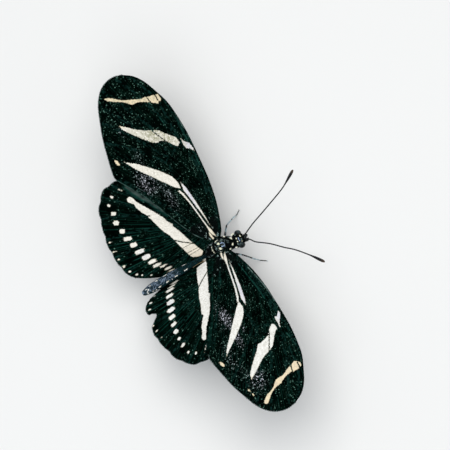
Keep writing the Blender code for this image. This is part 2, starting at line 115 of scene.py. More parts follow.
def bowed(start, end, bow, count=24):
    """Points along a parabola from start to end whose middle stands off the chord by bow."""
    first, last = np.array(start, float), np.array(end, float)
    run = last - first
    sideways = np.array((-run[1], run[0])) / np.linalg.norm(run)
    t = np.linspace(0, 1, count)[:, None]
    return first + run * t + sideways * (4 * bow * t * (1 - t))


def reach_to(points, line):
    """Distance of each point to the nearest place on a line of straight stretches."""
    a, step = line[:-1], np.diff(line, axis=0)
    off = points[:, None] - a[None]
    t = np.clip((off * step).sum(-1) / np.maximum((step * step).sum(-1), 1e-12), 0, 1)
    return np.linalg.norm(off - t[..., None] * step, axis=-1).min(1)


def depth_inside(points, outline):
    """Depth of each point inside a closed outline, negative outside: its distance to the nearest side,
    signed by how often a level ray from the point crosses the outline."""
    closed = np.vstack([outline, outline[:1]])
    a, b = closed[:-1], closed[1:]
    spans = (a[:, 1] > points[:, None, 1]) != (b[:, 1] > points[:, None, 1])
    rise = np.where(a[:, 1] == b[:, 1], 1e-12, b[:, 1] - a[:, 1])
    at = a[:, 0] + (b[:, 0] - a[:, 0]) * (points[:, None, 1] - a[:, 1]) / rise
    crossed = (spans & (points[:, None, 0] < at)).sum(1) % 2
    return reach_to(points, closed) * np.where(crossed, 1, -1)


def depth_in_oval(points, middle, long, wide, direction, power=2.0):
    """Depth inside an oval whose long half-axis lies along direction: the shares of both half-axes are
    summed to a power, whose root falls short of one by the depth in shorter half-axes."""
    axis = np.array(direction, float) / np.linalg.norm(direction)
    off = points - np.array(middle, float)
    shares = np.abs(np.stack([off @ axis / long, off @ np.array((-axis[1], axis[0])) / wide]))
    return (1 - (shares ** power).sum(0) ** (1 / power)) * min(long, wide)


def hung_wing(flat, lift, side, root, dihedral, pitch):
    """Places of a wing's flat points: out and forward from its root along the tilted wing plane, and
    lift above that plane, mirrored for the right side."""
    outward = np.array((math.cos(dihedral), 0.0, math.sin(dihedral)))
    upward = np.array((-math.sin(dihedral), 0.0, math.cos(dihedral)))
    forward = math.cos(pitch) * np.array((0.0, -1.0, 0.0)) + math.sin(pitch) * upward
    places = np.array(root) + flat[..., :1] * outward + flat[..., 1:] * forward + lift[..., None] * upward
    return places * (side, 1, 1) + (0, BODY_SHIFT, 0)


def build_mesh(name, points, *face_sets):
    """One mesh object from points in millimetres and arrays of faces, one array for each face size."""
    mesh = bpy.data.meshes.new(name)
    corners = np.concatenate([np.asarray(f).ravel() for f in face_sets])
    sizes = np.concatenate([np.full(len(f), np.shape(f)[1]) for f in face_sets])
    mesh.vertices.add(len(points))
    mesh.vertices.foreach_set("co", (np.asarray(points) * MM).astype(np.float32).ravel())
    mesh.loops.add(len(corners))
    mesh.loops.foreach_set("vertex_index", corners.astype(np.int32))
    mesh.polygons.add(len(sizes))
    mesh.polygons.foreach_set("loop_start", np.concatenate([[0], np.cumsum(sizes)[:-1]]).astype(np.int32))
    mesh.update(calc_edges=True)
    mesh.shade_smooth()
    made = bpy.data.objects.new(name, mesh)
    scene.collection.objects.link(made)
    return made


def add_values(made, **named):
    """Keep arrays of one number or of three numbers a point as attributes for the materials to read."""
    for name, values in named.items():
        values = np.asarray(values, np.float32)
        kind, field = ("FLOAT", "value") if values.ndim == 1 else ("FLOAT_VECTOR", "vector")
        made.data.attributes.new(name, kind, "POINT").data.foreach_set(field, values.ravel())


def grid_quads(rows, columns, around=False):
    """Corner numbers of the quads of a grid of points, closed across its columns if it goes around."""
    i = np.arange(rows - 1)[:, None]
    j = np.arange(columns if around else columns - 1)[None]
    k = (j + 1) % columns
    quads = np.stack([i * columns + j, (i + 1) * columns + j, (i + 1) * columns + k, i * columns + k], -1)
    return quads.reshape(-1, 4)


def sheet_mesh(name, middle, above, below):
    """A closed thin sheet: each point of the middle grid goes up and down along the normal, which is the
    cross product of the grid's two directions, and a strip of faces joins both skins round the edge."""
    rows, columns = middle.shape[:2]
    normal = np.cross(np.gradient(middle, axis=0), np.gradient(middle, axis=1))
    normal /= np.maximum(np.linalg.norm(normal, axis=-1, keepdims=True), 1e-12)
    upright = 1 if normal[..., 2].mean() > 0 else -1
    normal = normal * upright
    points = np.concatenate([(middle + normal * above[..., None]).reshape(-1, 3),
                             (middle - normal * below[..., None]).reshape(-1, 3)])
    count = rows * columns
    top = grid_quads(rows, columns)
    number = np.arange(count).reshape(rows, columns)
    edge = np.concatenate([number[:-1, 0], number[-1, :-1], number[:0:-1, -1], number[0, :0:-1]])
    after = np.roll(edge, -1)
    rim = np.stack([after, edge, edge + count, after + count], -1)
    faces = np.concatenate([top, top[:, ::-1] + count, rim])
    return build_mesh(name, points, faces if upright > 0 else faces[:, ::-1])


def edge_taper(rows, columns, width):
    """Thickness share over a grid: full inside, falling to a third over a few rows at its edges."""
    i = np.minimum(np.arange(rows), np.arange(rows)[::-1])[:, None]
    j = np.minimum(np.arange(columns), np.arange(columns)[::-1])[None]
    return np.clip(0.34 + np.minimum(i, j) / width, 0, 1)


def ridge_height(points, veins, width):
    """Height share of the vein ridges: a bell curve of the distance to the nearest vein."""
    nearest = np.min([reach_to(points, bowed(*vein)) for vein in veins], axis=0)
    return np.exp(-(nearest / width) ** 2)


def bell(points, middle, wide, high):
    """A smooth patch of a flat wing, one at its middle and fading as an oval bell curve."""
    off = (points - np.array(middle)) / (wide, high)
    return np.exp(-(off ** 2).sum(-1))


def marks_depth(points, outlines, cuts):
    """Depth inside the nearest of several outlines, less the dark lines that cut across them."""
    depth = np.max([depth_inside(points, np.array(outline)) for outline in outlines], axis=0)
    for start, end, bow, half_width in cuts:
        depth = np.minimum(depth, reach_to(points, bowed(start, end, bow, 8)) - half_width)
    return depth


BAND_TIP_LEFT = (
    (39.75, -6.95), (39.5, -5.9), (38.83, -5.03), (37.49, -3.41), (36.87, -1.94), (36.34, -0.79),
    (35.72, 0.51), (35.77, 1.43), (35.53, 2.03), (35.27, 3.33), (35.0, 4.35), (33.6, 4.45), (33.0, 3.5),
    (33.40, 2.94), (33.88, 2.21), (34.40, 1.59), (34.94, 0.62), (35.45, -0.39), (35.50, -1.24),
    (35.59, -1.92), (36.77, -3.08), (37.36, -3.84), (38.05, -5.09), (38.95, -6.41),
)
BAND_TIP_RIGHT = (
    (39.98, -6.49), (39.39, -5.76), (38.59, -5.00), (37.79, -4.24), (37.23, -3.32), (36.91, -2.51),
    (36.78, -1.65), (36.22, -1.00), (35.85, -0.29), (35.53, 0.52), (35.28, 1.30), (35.15, 1.76),
    (35.55, 1.92), (35.32, 2.62), (35.38, 3.13), (35.10, 3.86), (34.76, 4.20), (33.99, 4.30), (33.44, 3.75),
    (33.14, 3.27), (33.24, 2.75), (33.64, 2.37), (33.71, 1.94), (33.99, 1.34), (34.74, 0.20), (35.18, -0.66),
    (35.18, -1.20), (35.38, -2.23), (36.06, -2.93), (36.80, -3.53), (37.48, -4.51), (37.74, -5.42),
    (38.39, -6.18), (39.31, -7.05),
)
BAND_OUTER_LEFT = (
    (32.95, -6.95), (32.31, -6.21), (31.44, -5.19), (30.48, -4.22), (29.68, -3.16), (29.06, -2.21),
    (28.30, -0.73), (28.10, -0.31), (27.71, 0.46), (26.24, 1.58), (24.76, 2.91), (24.20, 3.35),
    (23.31, 3.61), (22.81, 3.34), (22.33, 2.65), (23.11, 2.01), (23.97, 1.41), (24.41, 1.01), (25.28, -0.01),
    (25.42, -0.46), (25.23, -0.89), (25.77, -1.88), (26.64, -2.68), (27.85, -3.73), (29.15, -4.73),
    (30.44, -5.73), (31.73, -6.52),
)
BAND_OUTER_RIGHT = (
    (32.6, -7.0), (31.31, -5.37), (29.64, -3.43), (28.66, -2.09), (28.2, -0.9), (27.95, -0.28),
    (27.32, 0.46), (26.07, 1.31), (25.02, 1.93), (24.05, 2.67), (23.77, 3.09), (23.28, 3.16),
    (22.52, 3.05), (22.11, 2.63), (22.60, 1.96), (23.30, 1.34), (24.35, 0.73), (24.91, -0.43),
    (25.34, -1.52), (25.28, -2.25), (26.67, -3.16), (28.06, -4.38), (29.73, -5.73), (31.46, -6.94),
)
FRONT_PATCH_LEFT = (
    (23.72, 4.05), (22.78, 4.39), (22.2, 4.95), (21.74, 5.31), (20.39, 5.50), (19.6, 5.45),
    (20.75, 4.77), (20.93, 4.23), (22.0, 3.9), (22.46, 4.00),
)
FRONT_PATCH_RIGHT = (
    (19.66, 5.20), (20.49, 5.31), (21.46, 4.88), (22.51, 4.26), (23.87, 3.89), (23.21, 3.64),
    (21.89, 3.78), (20.85, 3.79), (20.84, 4.40),
)
BAND_INNER_LEFT = (
    (25.1, -9.75), (23.96, -8.41), (23.34, -7.47), (21.95, -6.09), (20.56, -4.72), (19.08, -3.39),
    (17.96, -2.51), (16.93, -1.79), (15.73, -1.38), (14.80, -1.24), (13.6, -1.33), (14.68, -2.59),
    (15.89, -3.43), (17.18, -4.43), (18.56, -5.38), (19.86, -6.38), (21.15, -7.38), (22.53, -8.33),
)
BAND_INNER_RIGHT = (
    (24.9, -10.0), (23.56, -8.70), (22.71, -7.73), (21.87, -6.76), (21.03, -5.78), (19.91, -4.68),
    (18.78, -3.58), (17.59, -2.60), (16.29, -1.81), (15.07, -1.45), (13.3, -1.75), (14.39, -2.70),
    (15.87, -3.80), (17.83, -5.27), (19.58, -6.50), (21.05, -7.60), (22.52, -8.70),
)
STREAK_FRONT = (
    (14.95, -0.66), (13.43, -0.22), (12.16, -0.06), (11.06, 0.16), (9.87, 0.34), (8.36, 0.40), (5.66, 0.60),
    (2.22, 0.66), (3.24, 0.33), (6.44, -0.05), (8.22, -0.36), (10.41, -0.66), (11.76, -0.80), (13.03, -0.98),
)
STREAK_REAR = (
    (13.45, -1.85), (12.20, -1.25), (11.01, -0.99), (9.32, -0.65), (7.30, -0.46), (3.84, -0.02),
    (1.22, 0.40), (0.1, 0.60), (0.56, 0.14), (1.66, -0.30), (4.61, -0.66), (7.82, -1.07), (9.42, -1.28),
    (10.86, -1.54), (12.30, -1.84), (13.40, -2.14),
)
STREAK_ROOT = ((2.0, -0.52), (1.2, -0.28), (0.1, -0.12), (0.0, -0.5), (1.1, -0.72))
TIP_CUT = ((33.6, 2.15), (36.0, 1.65), 0.0, 0.13)
FRONT_CUT = ((33.0, 3.72), (35.6, 3.62), 0.0, 0.14)
OUTER_CUT = ((29.2, -1.15), (23.6, 1.32), 0.05, 0.13)
CROSS_CUT = ((22.3, 3.66), (25.2, 3.40), 0.0, 0.20)


def forewing_marks(points, side):
    """Depth inside the cream marks of a forewing, and how warm, bluish, glinting, shiny and thinly scaled
    each point is. The bluish tinge is painted reflection, the glints are painted highlights of single
    scales, and the shine is painted highlight along lines over the folds, the front edge and the wing's
    hind edge. The left wing's cream is painted warmer and darker, as shade on the wing turned from the light."""
    if side > 0:
        outlines = (BAND_TIP_LEFT, BAND_OUTER_LEFT, FRONT_PATCH_LEFT, BAND_INNER_LEFT)
        edge_spots = (((25.6, -11.2), 0.75, 0.33, (1.35, -0.33)),)
        glinting = (((18.6, -7.6), 3.6, 2.3, 1.0), ((12.5, -4.3), 4.5, 1.6, 0.6),
                  ((25.0, -6.2), 3.2, 1.6, 0.35), ((31.3, -6.9), 1.6, 0.9, 0.6), ((36.0, -7.0), 3.5, 2.5, 0.2))
        sheen_paths = ((((28.98, 5.62), (25.0, 5.90), (20.14, 5.80)), 0.07, 0.75), (FORE_INNER[:8], 0.14, 0.7),
                 (((31.0, 4.9), (27.0, 5.3), (22.0, 5.25), (14.0, 4.9)), 0.06, 0.5),
                 (((36.0, 1.3), (31.0, 2.1), (27.5, 2.45)), 0.07, 0.38))
    else:
        outlines = (BAND_TIP_RIGHT, BAND_OUTER_RIGHT, FRONT_PATCH_RIGHT, BAND_INNER_RIGHT)
        edge_spots = (((25.8, -11.45), 0.75, 0.33, (1.3, 0.48)), ((34.8, -8.7), 0.36, 0.18, (1, 0.3)),
                      ((36.2, -8.3), 0.4, 0.15, (1, 0.3)))
        glinting = (((16.0, -5.9), 2.0, 0.8, 1.6), ((14.6, -6.6), 4.5, 1.8, 0.6), ((22.0, -5.6), 2.6, 0.8, 1.1),
                  ((19.4, -3.6), 2.4, 0.5, 0.7), ((32.8, -5.6), 2.6, 1.7, 0.9), ((26.0, -9.0), 6.5, 2.4, 0.45),
                  ((35.5, -6.5), 3.5, 3.0, 0.25))
        sheen_paths = ((((2.91, -3.70), (7.01, -5.80), (10.46, -7.16), (16.00, -9.75), (19.64, -11.95)), 0.24, 0.42),
                 (((6.34, 3.59), (11.65, 4.87), (14.71, 5.32), (16.94, 5.54)), 0.14, 1.0),
                 (((4.39, 2.03), (8.31, 2.72), (12.22, 3.40), (15.57, 3.73)), 0.12, 0.42),
                 (((25.82, 4.58), (29.68, 5.26)), 0.12, 0.6), (((4.31, -2.49), (7.20, -3.61)), 0.18, 0.4))
    cuts = (TIP_CUT, FRONT_CUT, OUTER_CUT, CROSS_CUT)
    depth = marks_depth(points, outlines + (STREAK_FRONT, STREAK_REAR, STREAK_ROOT), cuts)
    narrowed = np.clip((13.0 - points[:, 0]) / 3.0, 0, 1) * np.clip(points[:, 0] - 2.2, 0, 1)
    depth -= (0.14 if side > 0 else 0.11) * narrowed
    for middle, long, wide, direction in edge_spots:
        depth = np.maximum(depth, depth_in_oval(points, middle, long, wide, direction))
    warm_and_shade = np.clip((points[:, 0] - 31.5) / 2.0, 0, 1) + np.clip((4.0 - points[:, 0]) / 3.5, 0, 1) * 0.55
    # Painted shade: the left wing's cream is warmer and darker, as on the wing turned from the light.
    warm_and_shade += 0.22 if side > 0 else 0.0
    warm_and_shade += 1.2 * bell(points, (25.7, -11.3), 1.4, 0.9)
    # Painted reflection: a bluish sheen over the front root streak and the patch near the front edge.
    reflection_and_crease = bell(points, (11.5, -0.3), 4.0, 0.55) * (points[:, 1] > -1.1) + bell(points, (21.6, 4.9), 2.2, 0.8)
    # Painted highlights: patches where single scales glint pale lilac white.
    scale_glint = sum(amount * bell(points, middle, wide, high) for middle, wide, high, amount in glinting)
    # Painted highlight: a bell across each sheen line, where light shines off the folds and edges.
    sheen_lines = [amount * np.exp(-(reach_to(points, np.array(line)) / wide) ** 2) for line, wide, amount in sheen_paths]
    thin = 1.1 * bell(points, (26.4, -0.2), 6.0, 5.5) + 0.35 * np.clip((points[:, 0] - 33) / 2, 0, 1)
    thin = (side > 0) * thin + 0.06
    return depth, np.clip(warm_and_shade, 0, 1), np.clip(reflection_and_crease, 0, 1), scale_glint, np.max(sheen_lines, axis=0), thin


def make_wing(name, side, flat, lift, hang, veins, values, fan, pleat_glint):
    """A wing sheet over its grid of flat points, with ridges along its veins and the values of its marks
    kept for the finish, the same on both faces. The grain of the scales spreads from the fan's centre:
    across it runs the angle times the fan's reach, and along it a share of the distance. One value says
    how strongly the painted highlights along the pleats streak the black and, inside the marks, how thin the cream."""
    rows, columns = flat.shape[:2]
    points = flat.reshape(-1, 2)
    ridge = ridge_height(points, veins, 0.17)
    depth, warm_and_shade, reflection_and_crease, scale_glint, sheen, thin = values
    off = points - np.array(fan[:2])
    across, along = fan[2] * np.arctan2(off[:, 1], off[:, 0]), fan[3] * np.hypot(*off.T)
    middle = hung_wing(flat, lift, side, **hang)
    taper = edge_taper(rows, columns, 5)
    raised = VEIN_RIDGE * ridge.reshape(rows, columns)
    half = MEMBRANE * taper
    made = sheet_mesh(name, middle, half + raised * taper, half + 0.5 * raised * taper)
    add_values(made, marks=np.tile(np.stack([np.clip(depth, -0.6, 0.6), warm_and_shade, reflection_and_crease], 1), (2, 1)),
               relief=np.tile(np.stack([ridge, np.where(depth > 0, thin, pleat_glint), scale_glint], 1), (2, 1)),
               lines=np.tile(np.stack([sheen, across, along], 1), (2, 1)))
    return made


def dress(piece, finish, slot, *solids):
    """Give a piece its finish and its place on the still body, in place of the solids it stands for."""
    piece.data.materials.append(finish)
    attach(piece, "root")
    if solids:
        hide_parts(*solids)


def node(tree, kind, inputs=(), **settings):
    """A new shader node with its settings, its inputs given as values or as other nodes' outputs."""
    made = tree.nodes.new("ShaderNode" + kind)
    for key, value in settings.items():
        setattr(made, key, value)
    for key, value in dict(inputs).items():
        if isinstance(value, bpy.types.NodeSocket):
            tree.links.new(value, made.inputs[key])
        else:
            made.inputs[key].default_value = value
    return made


def calc(tree, operation, *values):
    """The output of a maths node."""
    return node(tree, "Math", dict(enumerate(values)), operation=operation).outputs[0]


def blend(tree, share, first, second):
    """The output of a colour mix, first where share is 0 and second where it is 1."""
    return node(tree, "Mix", {0: share, 6: first, 7: second}, data_type="RGBA").outputs[2]


def ramp(tree, value, low, high, smooth=True):
    """A value taken from 0 at low to 1 at high."""
    kind = "SMOOTHSTEP" if smooth else "LINEAR"
    return node(tree, "MapRange", {0: value, 1: low, 2: high}, interpolation_type=kind).outputs[0]


def new_group(name, inputs, outputs):
    """An empty shader node group with named inputs and outputs, given as (name, kind, default)."""
    tree = bpy.data.node_groups.new(name, "ShaderNodeTree")
    for word, kind, default in inputs:
        socket = tree.interface.new_socket(word, in_out="INPUT", socket_type="NodeSocket" + kind)
        if default is not None:
            socket.default_value = default
    for word, kind in outputs:
        tree.interface.new_socket(word, in_out="OUTPUT", socket_type="NodeSocket" + kind)
    return tree, tree.nodes.new("NodeGroupInput").outputs, tree.nodes.new("NodeGroupOutput").inputs


def use_group(tree, group, inputs):
    """The outputs of a node group placed in a material."""
    made = tree.nodes.new("ShaderNodeGroup")
    made.node_tree = group
    for key, value in inputs.items():
        if isinstance(value, bpy.types.NodeSocket):
            tree.links.new(value, made.inputs[key])
        else:
            made.inputs[key].default_value = value
    return made.outputs


def new_finish(name, roughness, specular):
    """A new material, its node tree, its Principled shader and the place on the object in millimetres."""
    made = bpy.data.materials.new(name)
    made.use_nodes = True
    tree = made.node_tree
    shader = tree.nodes["Principled BSDF"]
    shader.inputs["Roughness"].default_value = roughness
    shader.inputs["Specular IOR Level"].default_value = specular
    place = node(tree, "Mapping", {"Vector": node(tree, "TexCoord").outputs["Object"], "Scale": (1000,) * 3})
    return made, tree, shader, place.outputs[0]


def finish_with(tree, shader, colour, height, distance, strength=1.0):
    """Join a colour and a height in millimetres to the shader."""
    tree.links.new(colour, shader.inputs["Base Color"])
    bump = node(tree, "Bump", {"Height": height, "Distance": distance * MM, "Strength": strength})
    tree.links.new(bump.outputs[0], shader.inputs["Normal"])


scale_specks, given, put = new_group(
    "scale_specks", (("Place", "Vector", None), ("Size", "Float", 5.0), ("Amount", "Float", 0.1)),
    (("Speck", "Float"), ("Grain", "Float"), ("Height", "Float")))
cells = node(scale_specks, "TexVoronoi", {"Vector": given["Place"], "Scale": given["Size"]})
chance = node(scale_specks, "SeparateColor", {0: cells.outputs["Color"]}).outputs
start = calc(scale_specks, "SUBTRACT", 1.0, given["Amount"])
lucky = ramp(scale_specks, chance[0], start, calc(scale_specks, "ADD", start, 0.02), smooth=False)
bright = calc(scale_specks, "MULTIPLY_ADD", calc(scale_specks, "POWER", chance[2], 3.0), 0.88, 0.12)
lucky = calc(scale_specks, "MULTIPLY", lucky, bright)
dot = ramp(scale_specks, cells.outputs["Distance"], 0.72, 0.45)
scale_specks.links.new(calc(scale_specks, "MULTIPLY", lucky, dot), put["Speck"])
scale_specks.links.new(chance[1], put["Grain"])
scale_specks.links.new(calc(scale_specks, "SUBTRACT", 1.0, cells.outputs["Distance"]), put["Height"])

stepped_edge, given, put = new_group(
    "stepped_edge", (("Place", "Vector", None), ("Depth", "Float", 0.0), ("Step", "Float", 0.2)),
    (("Mask", "Float"),))
rough = node(stepped_edge, "TexNoise", {"Vector": given["Place"], "Scale": 4.5, "Detail": 2.0}).outputs["Fac"]
shift = calc(stepped_edge, "MULTIPLY", calc(stepped_edge, "SUBTRACT", rough, 0.5), given["Step"])
inside = calc(stepped_edge, "ADD", given["Depth"], shift)
stepped_edge.links.new(ramp(stepped_edge, inside, -0.05, 0.05), put["Mask"])

wing_scales, tree, shader, place = new_finish("wing_scales", 0.7, 0.0)
marks, relief, lines = (
    node(tree, "SeparateXYZ", {0: node(tree, "Attribute", attribute_name=word).outputs["Vector"]}).outputs
    for word in ("marks", "relief", "lines"))
grain = node(tree, "CombineXYZ", {0: lines[1], 1: lines[2]}).outputs[0]
patchy = node(tree, "TexNoise", {"Vector": place, "Scale": 0.45, "Detail": 4.0}).outputs["Fac"]
clump = node(tree, "TexNoise", {"Vector": place, "Scale": 1.5, "Detail": 2.0}).outputs["Fac"]
scatter = calc(tree, "MULTIPLY_ADD", ramp(tree, patchy, 0.38, 0.70), 0.19, 0.05)
# Painted highlights: where the glint value is up, in clumps, more specks show and they turn from dull teal to pale
# lilac white.
glinting = calc(tree, "MULTIPLY", relief[2], ramp(tree, clump, 0.34, 0.60))
amount = calc(tree, "MINIMUM", calc(tree, "MULTIPLY_ADD", glinting, 0.50, scatter), 0.7)
amount = calc(tree, "MULTIPLY", amount, calc(tree, "SUBTRACT", 1.0, calc(tree, "MULTIPLY", relief[0], 0.85)))
specks = use_group(tree, scale_specks, {"Place": grain, "Size": 6.6, "Amount": amount})
tint = calc(tree, "MULTIPLY", ramp(tree, patchy, 0.3, 0.75), specks["Grain"])
black = blend(tree, tint, (0.0001, 0.0006, 0.0004, 1), (0.0010, 0.0070, 0.0042, 1))
# Painted highlights: broken teal lines that radiate across the black, as light on pleats that the sheet does not
# have.
rib = node(tree, "TexNoise", {"W": calc(tree, "MULTIPLY", lines[1], 4.0), "Scale": 1.0, "Detail": 1.5},
           noise_dimensions="1D").outputs["Fac"]
broken = node(tree, "TexNoise", {"Vector": grain, "Scale": 0.9, "Detail": 3.0}).outputs["Fac"]
ribs = calc(tree, "MULTIPLY", ramp(tree, rib, 0.53, 0.64), ramp(tree, broken, 0.36, 0.58))
black = blend(tree, calc(tree, "MULTIPLY", ribs, relief[1]), black, (0.0060, 0.0420, 0.0310, 1))
# Painted highlight: a thin teal line on each flank of the vein ridges, in clumps.
vein_flank_glint = calc(tree, "MULTIPLY", relief[0], calc(tree, "SUBTRACT", 1.0, relief[0]))
vein_flank_glint = calc(tree, "MULTIPLY", vein_flank_glint, ramp(tree, clump, 0.42, 0.62))
black = blend(tree, calc(tree, "MULTIPLY", vein_flank_glint, 2.2), black, (0.0085, 0.0380, 0.0320, 1))
speck_glint_colour = blend(tree, ramp(tree, relief[2], 0.15, 0.9), (0.085, 0.190, 0.145, 1), (0.70, 0.72, 0.80, 1))
black = blend(tree, specks["Speck"], black, speck_glint_colour)
# Painted sheen: the black turns grey-green along the forewings' sheen lines and over the hindwings' grey zone,
# broken by noise; on the hindwings that grey is partly the rubbed scales' own.
sheen_lines = calc(tree, "MULTIPLY", calc(tree, "MULTIPLY", lines[0], 1.3), ramp(tree, broken, 0.30, 0.62))
rub_and_sheen = blend(tree, ramp(tree, lines[0], 0.35, 0.75), (0.012, 0.085, 0.065, 1), (0.125, 0.165, 0.152, 1))
black = blend(tree, calc(tree, "MINIMUM", sheen_lines, 1.0), black, rub_and_sheen)
cream = blend(tree, marks[1], (0.89, 0.885, 0.845, 1), (0.86, 0.71, 0.48, 1))
# Painted reflection: the cream turns bluish grey where the reflection value is up to one.
cream = blend(tree, marks[2], cream, (0.70, 0.70, 0.80, 1))
grains = use_group(tree, scale_specks, {"Place": grain, "Size": 4.6, "Amount": 0.05})
mottle = node(tree, "TexNoise", {"Vector": place, "Scale": 2.4, "Detail": 4.0}).outputs["Fac"]
cream = blend(tree, calc(tree, "MULTIPLY", ramp(tree, mottle, 0.42, 0.68), 0.36), cream, (0.50, 0.48, 0.40, 1))
cream = blend(tree, calc(tree, "MULTIPLY", grains["Grain"], 0.32), cream, (0.46, 0.43, 0.36, 1))
cream = blend(tree, calc(tree, "MULTIPLY", grains["Speck"], 0.6), cream, (0.22, 0.21, 0.18, 1))
thin = calc(tree, "MAXIMUM", ramp(tree, marks[0], 0.06, 0.0), relief[1])
thin = calc(tree, "MULTIPLY", thin, calc(tree, "MULTIPLY_ADD", grains["Grain"], 0.75, 0.12))
cream = blend(tree, calc(tree, "MINIMUM", thin, 0.8), cream, (0.24, 0.24, 0.13, 1))
mask = use_group(tree, stepped_edge, {"Place": grain, "Depth": marks[0], "Step": 0.50})["Mask"]
colour = blend(tree, mask, black, cream)
# Painted shade: where that value passes one, the crease line turns brown.
colour = blend(tree, ramp(tree, marks[2], 1.1, 1.7), colour, (0.36, 0.29, 0.17, 1))
finish_with(tree, shader, colour, grains["Height"], 0.03, 0.6)

forewing_rows, forewing_columns = 300, 110
fore_base = np.linspace((-0.5, -1.4), (-0.5, 1.15), forewing_columns)
for word, side in (("left", 1), ("right", -1)):
    flat = filled_patch(fore_base, smooth_through(FORE_FRONT, forewing_rows),
                        smooth_through(FORE_OUTER, forewing_columns)[::-1],
                        smooth_through(FORE_INNER, forewing_rows)[::-1])
    lift = FORE_CAMBER * (1 - ((flat[..., 1] + 3.5) / 9.5) ** 2)
    # The last number is how strongly the painted pleat highlights show on each forewing.
    wing = make_wing("forewing_sheet_" + word, side, flat, lift, FOREWING, FORE_VEINS,
                     forewing_marks(flat.reshape(-1, 2), side), (-12.0, 10.0, 36.0, 0.65),
                     0.14 if side > 0 else 0.26)
    dress(wing, wing_scales, "wing_scales", "forewing_" + word)


# Hindwings. The same kind of scaled membrane, rounder and softer, with a scalloped hind margin. They
# lie under the forewings, and their inner parts dip and pass under the abdomen.

HINDWING = dict(root=(1.92, 0.0, 8.6), dihedral=math.radians(16.5), pitch=math.radians(-0.9))
HIND_FRONT = (
    (-0.5, -0.5), (1.2, -0.75), (4.0, -1.6), (8.0, -3.4), (12.0, -5.3), (16.0, -7.4), (19.5, -9.6),
    (21.9, -11.8),
)
HIND_OUTER = (
    (21.9, -11.8), (22.6, -13.5), (22.5, -15.1), (22.3, -16.7), (21.1, -18.1), (18.7, -19.95),
    (15.7, -20.95), (12.6, -21.75), (10.4, -22.1), (8.3, -22.1), (5.6, -22.0), (3.0, -21.3), (1.3, -20.1),
)
TORN_NOTCH = (
    (8.67, -21.95), (7.68, -21.69), (7.13, -21.05), (6.62, -20.35), (6.16, -19.87), (5.43, -19.6),
    (5.1, -20.0), (4.97, -20.6), (4.9, -21.2), (4.5, -21.42),
)
HIND_INNER_LEFT = (
    (1.3, -20.1), (0.3, -18.5), (-0.5, -16.9), (-1.3, -14.9), (-1.9, -12.0), (-2.2, -8.5), (-2.25, -6.2),
    (-2.1, -4.6), (-1.4, -3.4), (-0.5, -2.4),
)
HIND_INNER_RIGHT = (
    (1.3, -20.1), (0.7, -19.55), (0.25, -18.8), (-0.4, -17.7), (-1.4, -15.7), (-2.0, -13.5), (-2.2, -11.0),
    (-2.4, -9.0), (-2.55, -7.0), (-2.5, -5.2), (-1.9, -3.7), (-0.5, -2.4),
)
HIND_VEINS = (
    ((0.1, -1.2), (22.0, -14.6), 0.7),
    ((0.0, -1.6), (9.4, -8.0), 0.3),
    ((9.4, -8.0), (20.9, -17.9), 0.4),
    ((-0.1, -1.9), (4.6, -8.2), 0.2),
    ((4.6, -8.2), (7.0, -9.8), 0.0),
    ((7.0, -9.8), (9.4, -8.0), -0.2),
    ((9.4, -8.0), (16.5, -20.3), 1.0),
    ((8.2, -9.3), (11.9, -21.6), 0.6),
    ((7.0, -9.8), (7.5, -21.9), -0.1),
    ((4.6, -8.2), (3.6, -21.3), -0.3),
    ((0.3, -2.5), (1.15, -19.4), -0.5),
)
GUTTER_DEPTH = 1.95
# The gutter beside the abdomen has a crease, along which a brown line of painted shade is drawn. The
# forewing rubs along the line in front; the grey zone there is partly the rubbed scales' own grey and
# partly painted sheen.
CREASE_SHADE_LINE = ((-0.98, -4.35), (-1.12, -4.95), (-1.25, -5.6), (-1.36, -6.55), (-1.3, -7.6))
RUB_AND_SHEEN_LINE = ((20.4, -11.9), (18.2, -10.9), (16.49, -10.0), (14.76, -8.85), (12.71, -7.8), (10.65, -6.8))


def ease(share):
    """A smooth step from 0 to 1: three times the square less twice the cube."""
    held = np.clip(share, 0, 1)
    return held * held * (3 - 2 * held)


def scalloped(edge, count):
    """An outer edge drawn in a little where each vein meets it: the pull inward is a narrow peak of a
    cosine along the edge, and fades at both ends."""
    t = np.linspace(0, 1, len(edge))
    along = np.gradient(edge, axis=0)
    inward = np.stack([along[:, 1], -along[:, 0]], 1) / np.linalg.norm(along, axis=1, keepdims=True)
    inward *= np.sign((np.mean(edge, 0) * (0.7, 0.5) - edge[len(edge) // 2]) @ inward[len(edge) // 2])
    pull = 0.2 * np.abs(np.cos(math.pi * count * t)) ** 6 * np.clip(6 * t * (1 - t) * 2, 0, 1)
    return edge + inward * pull[:, None]


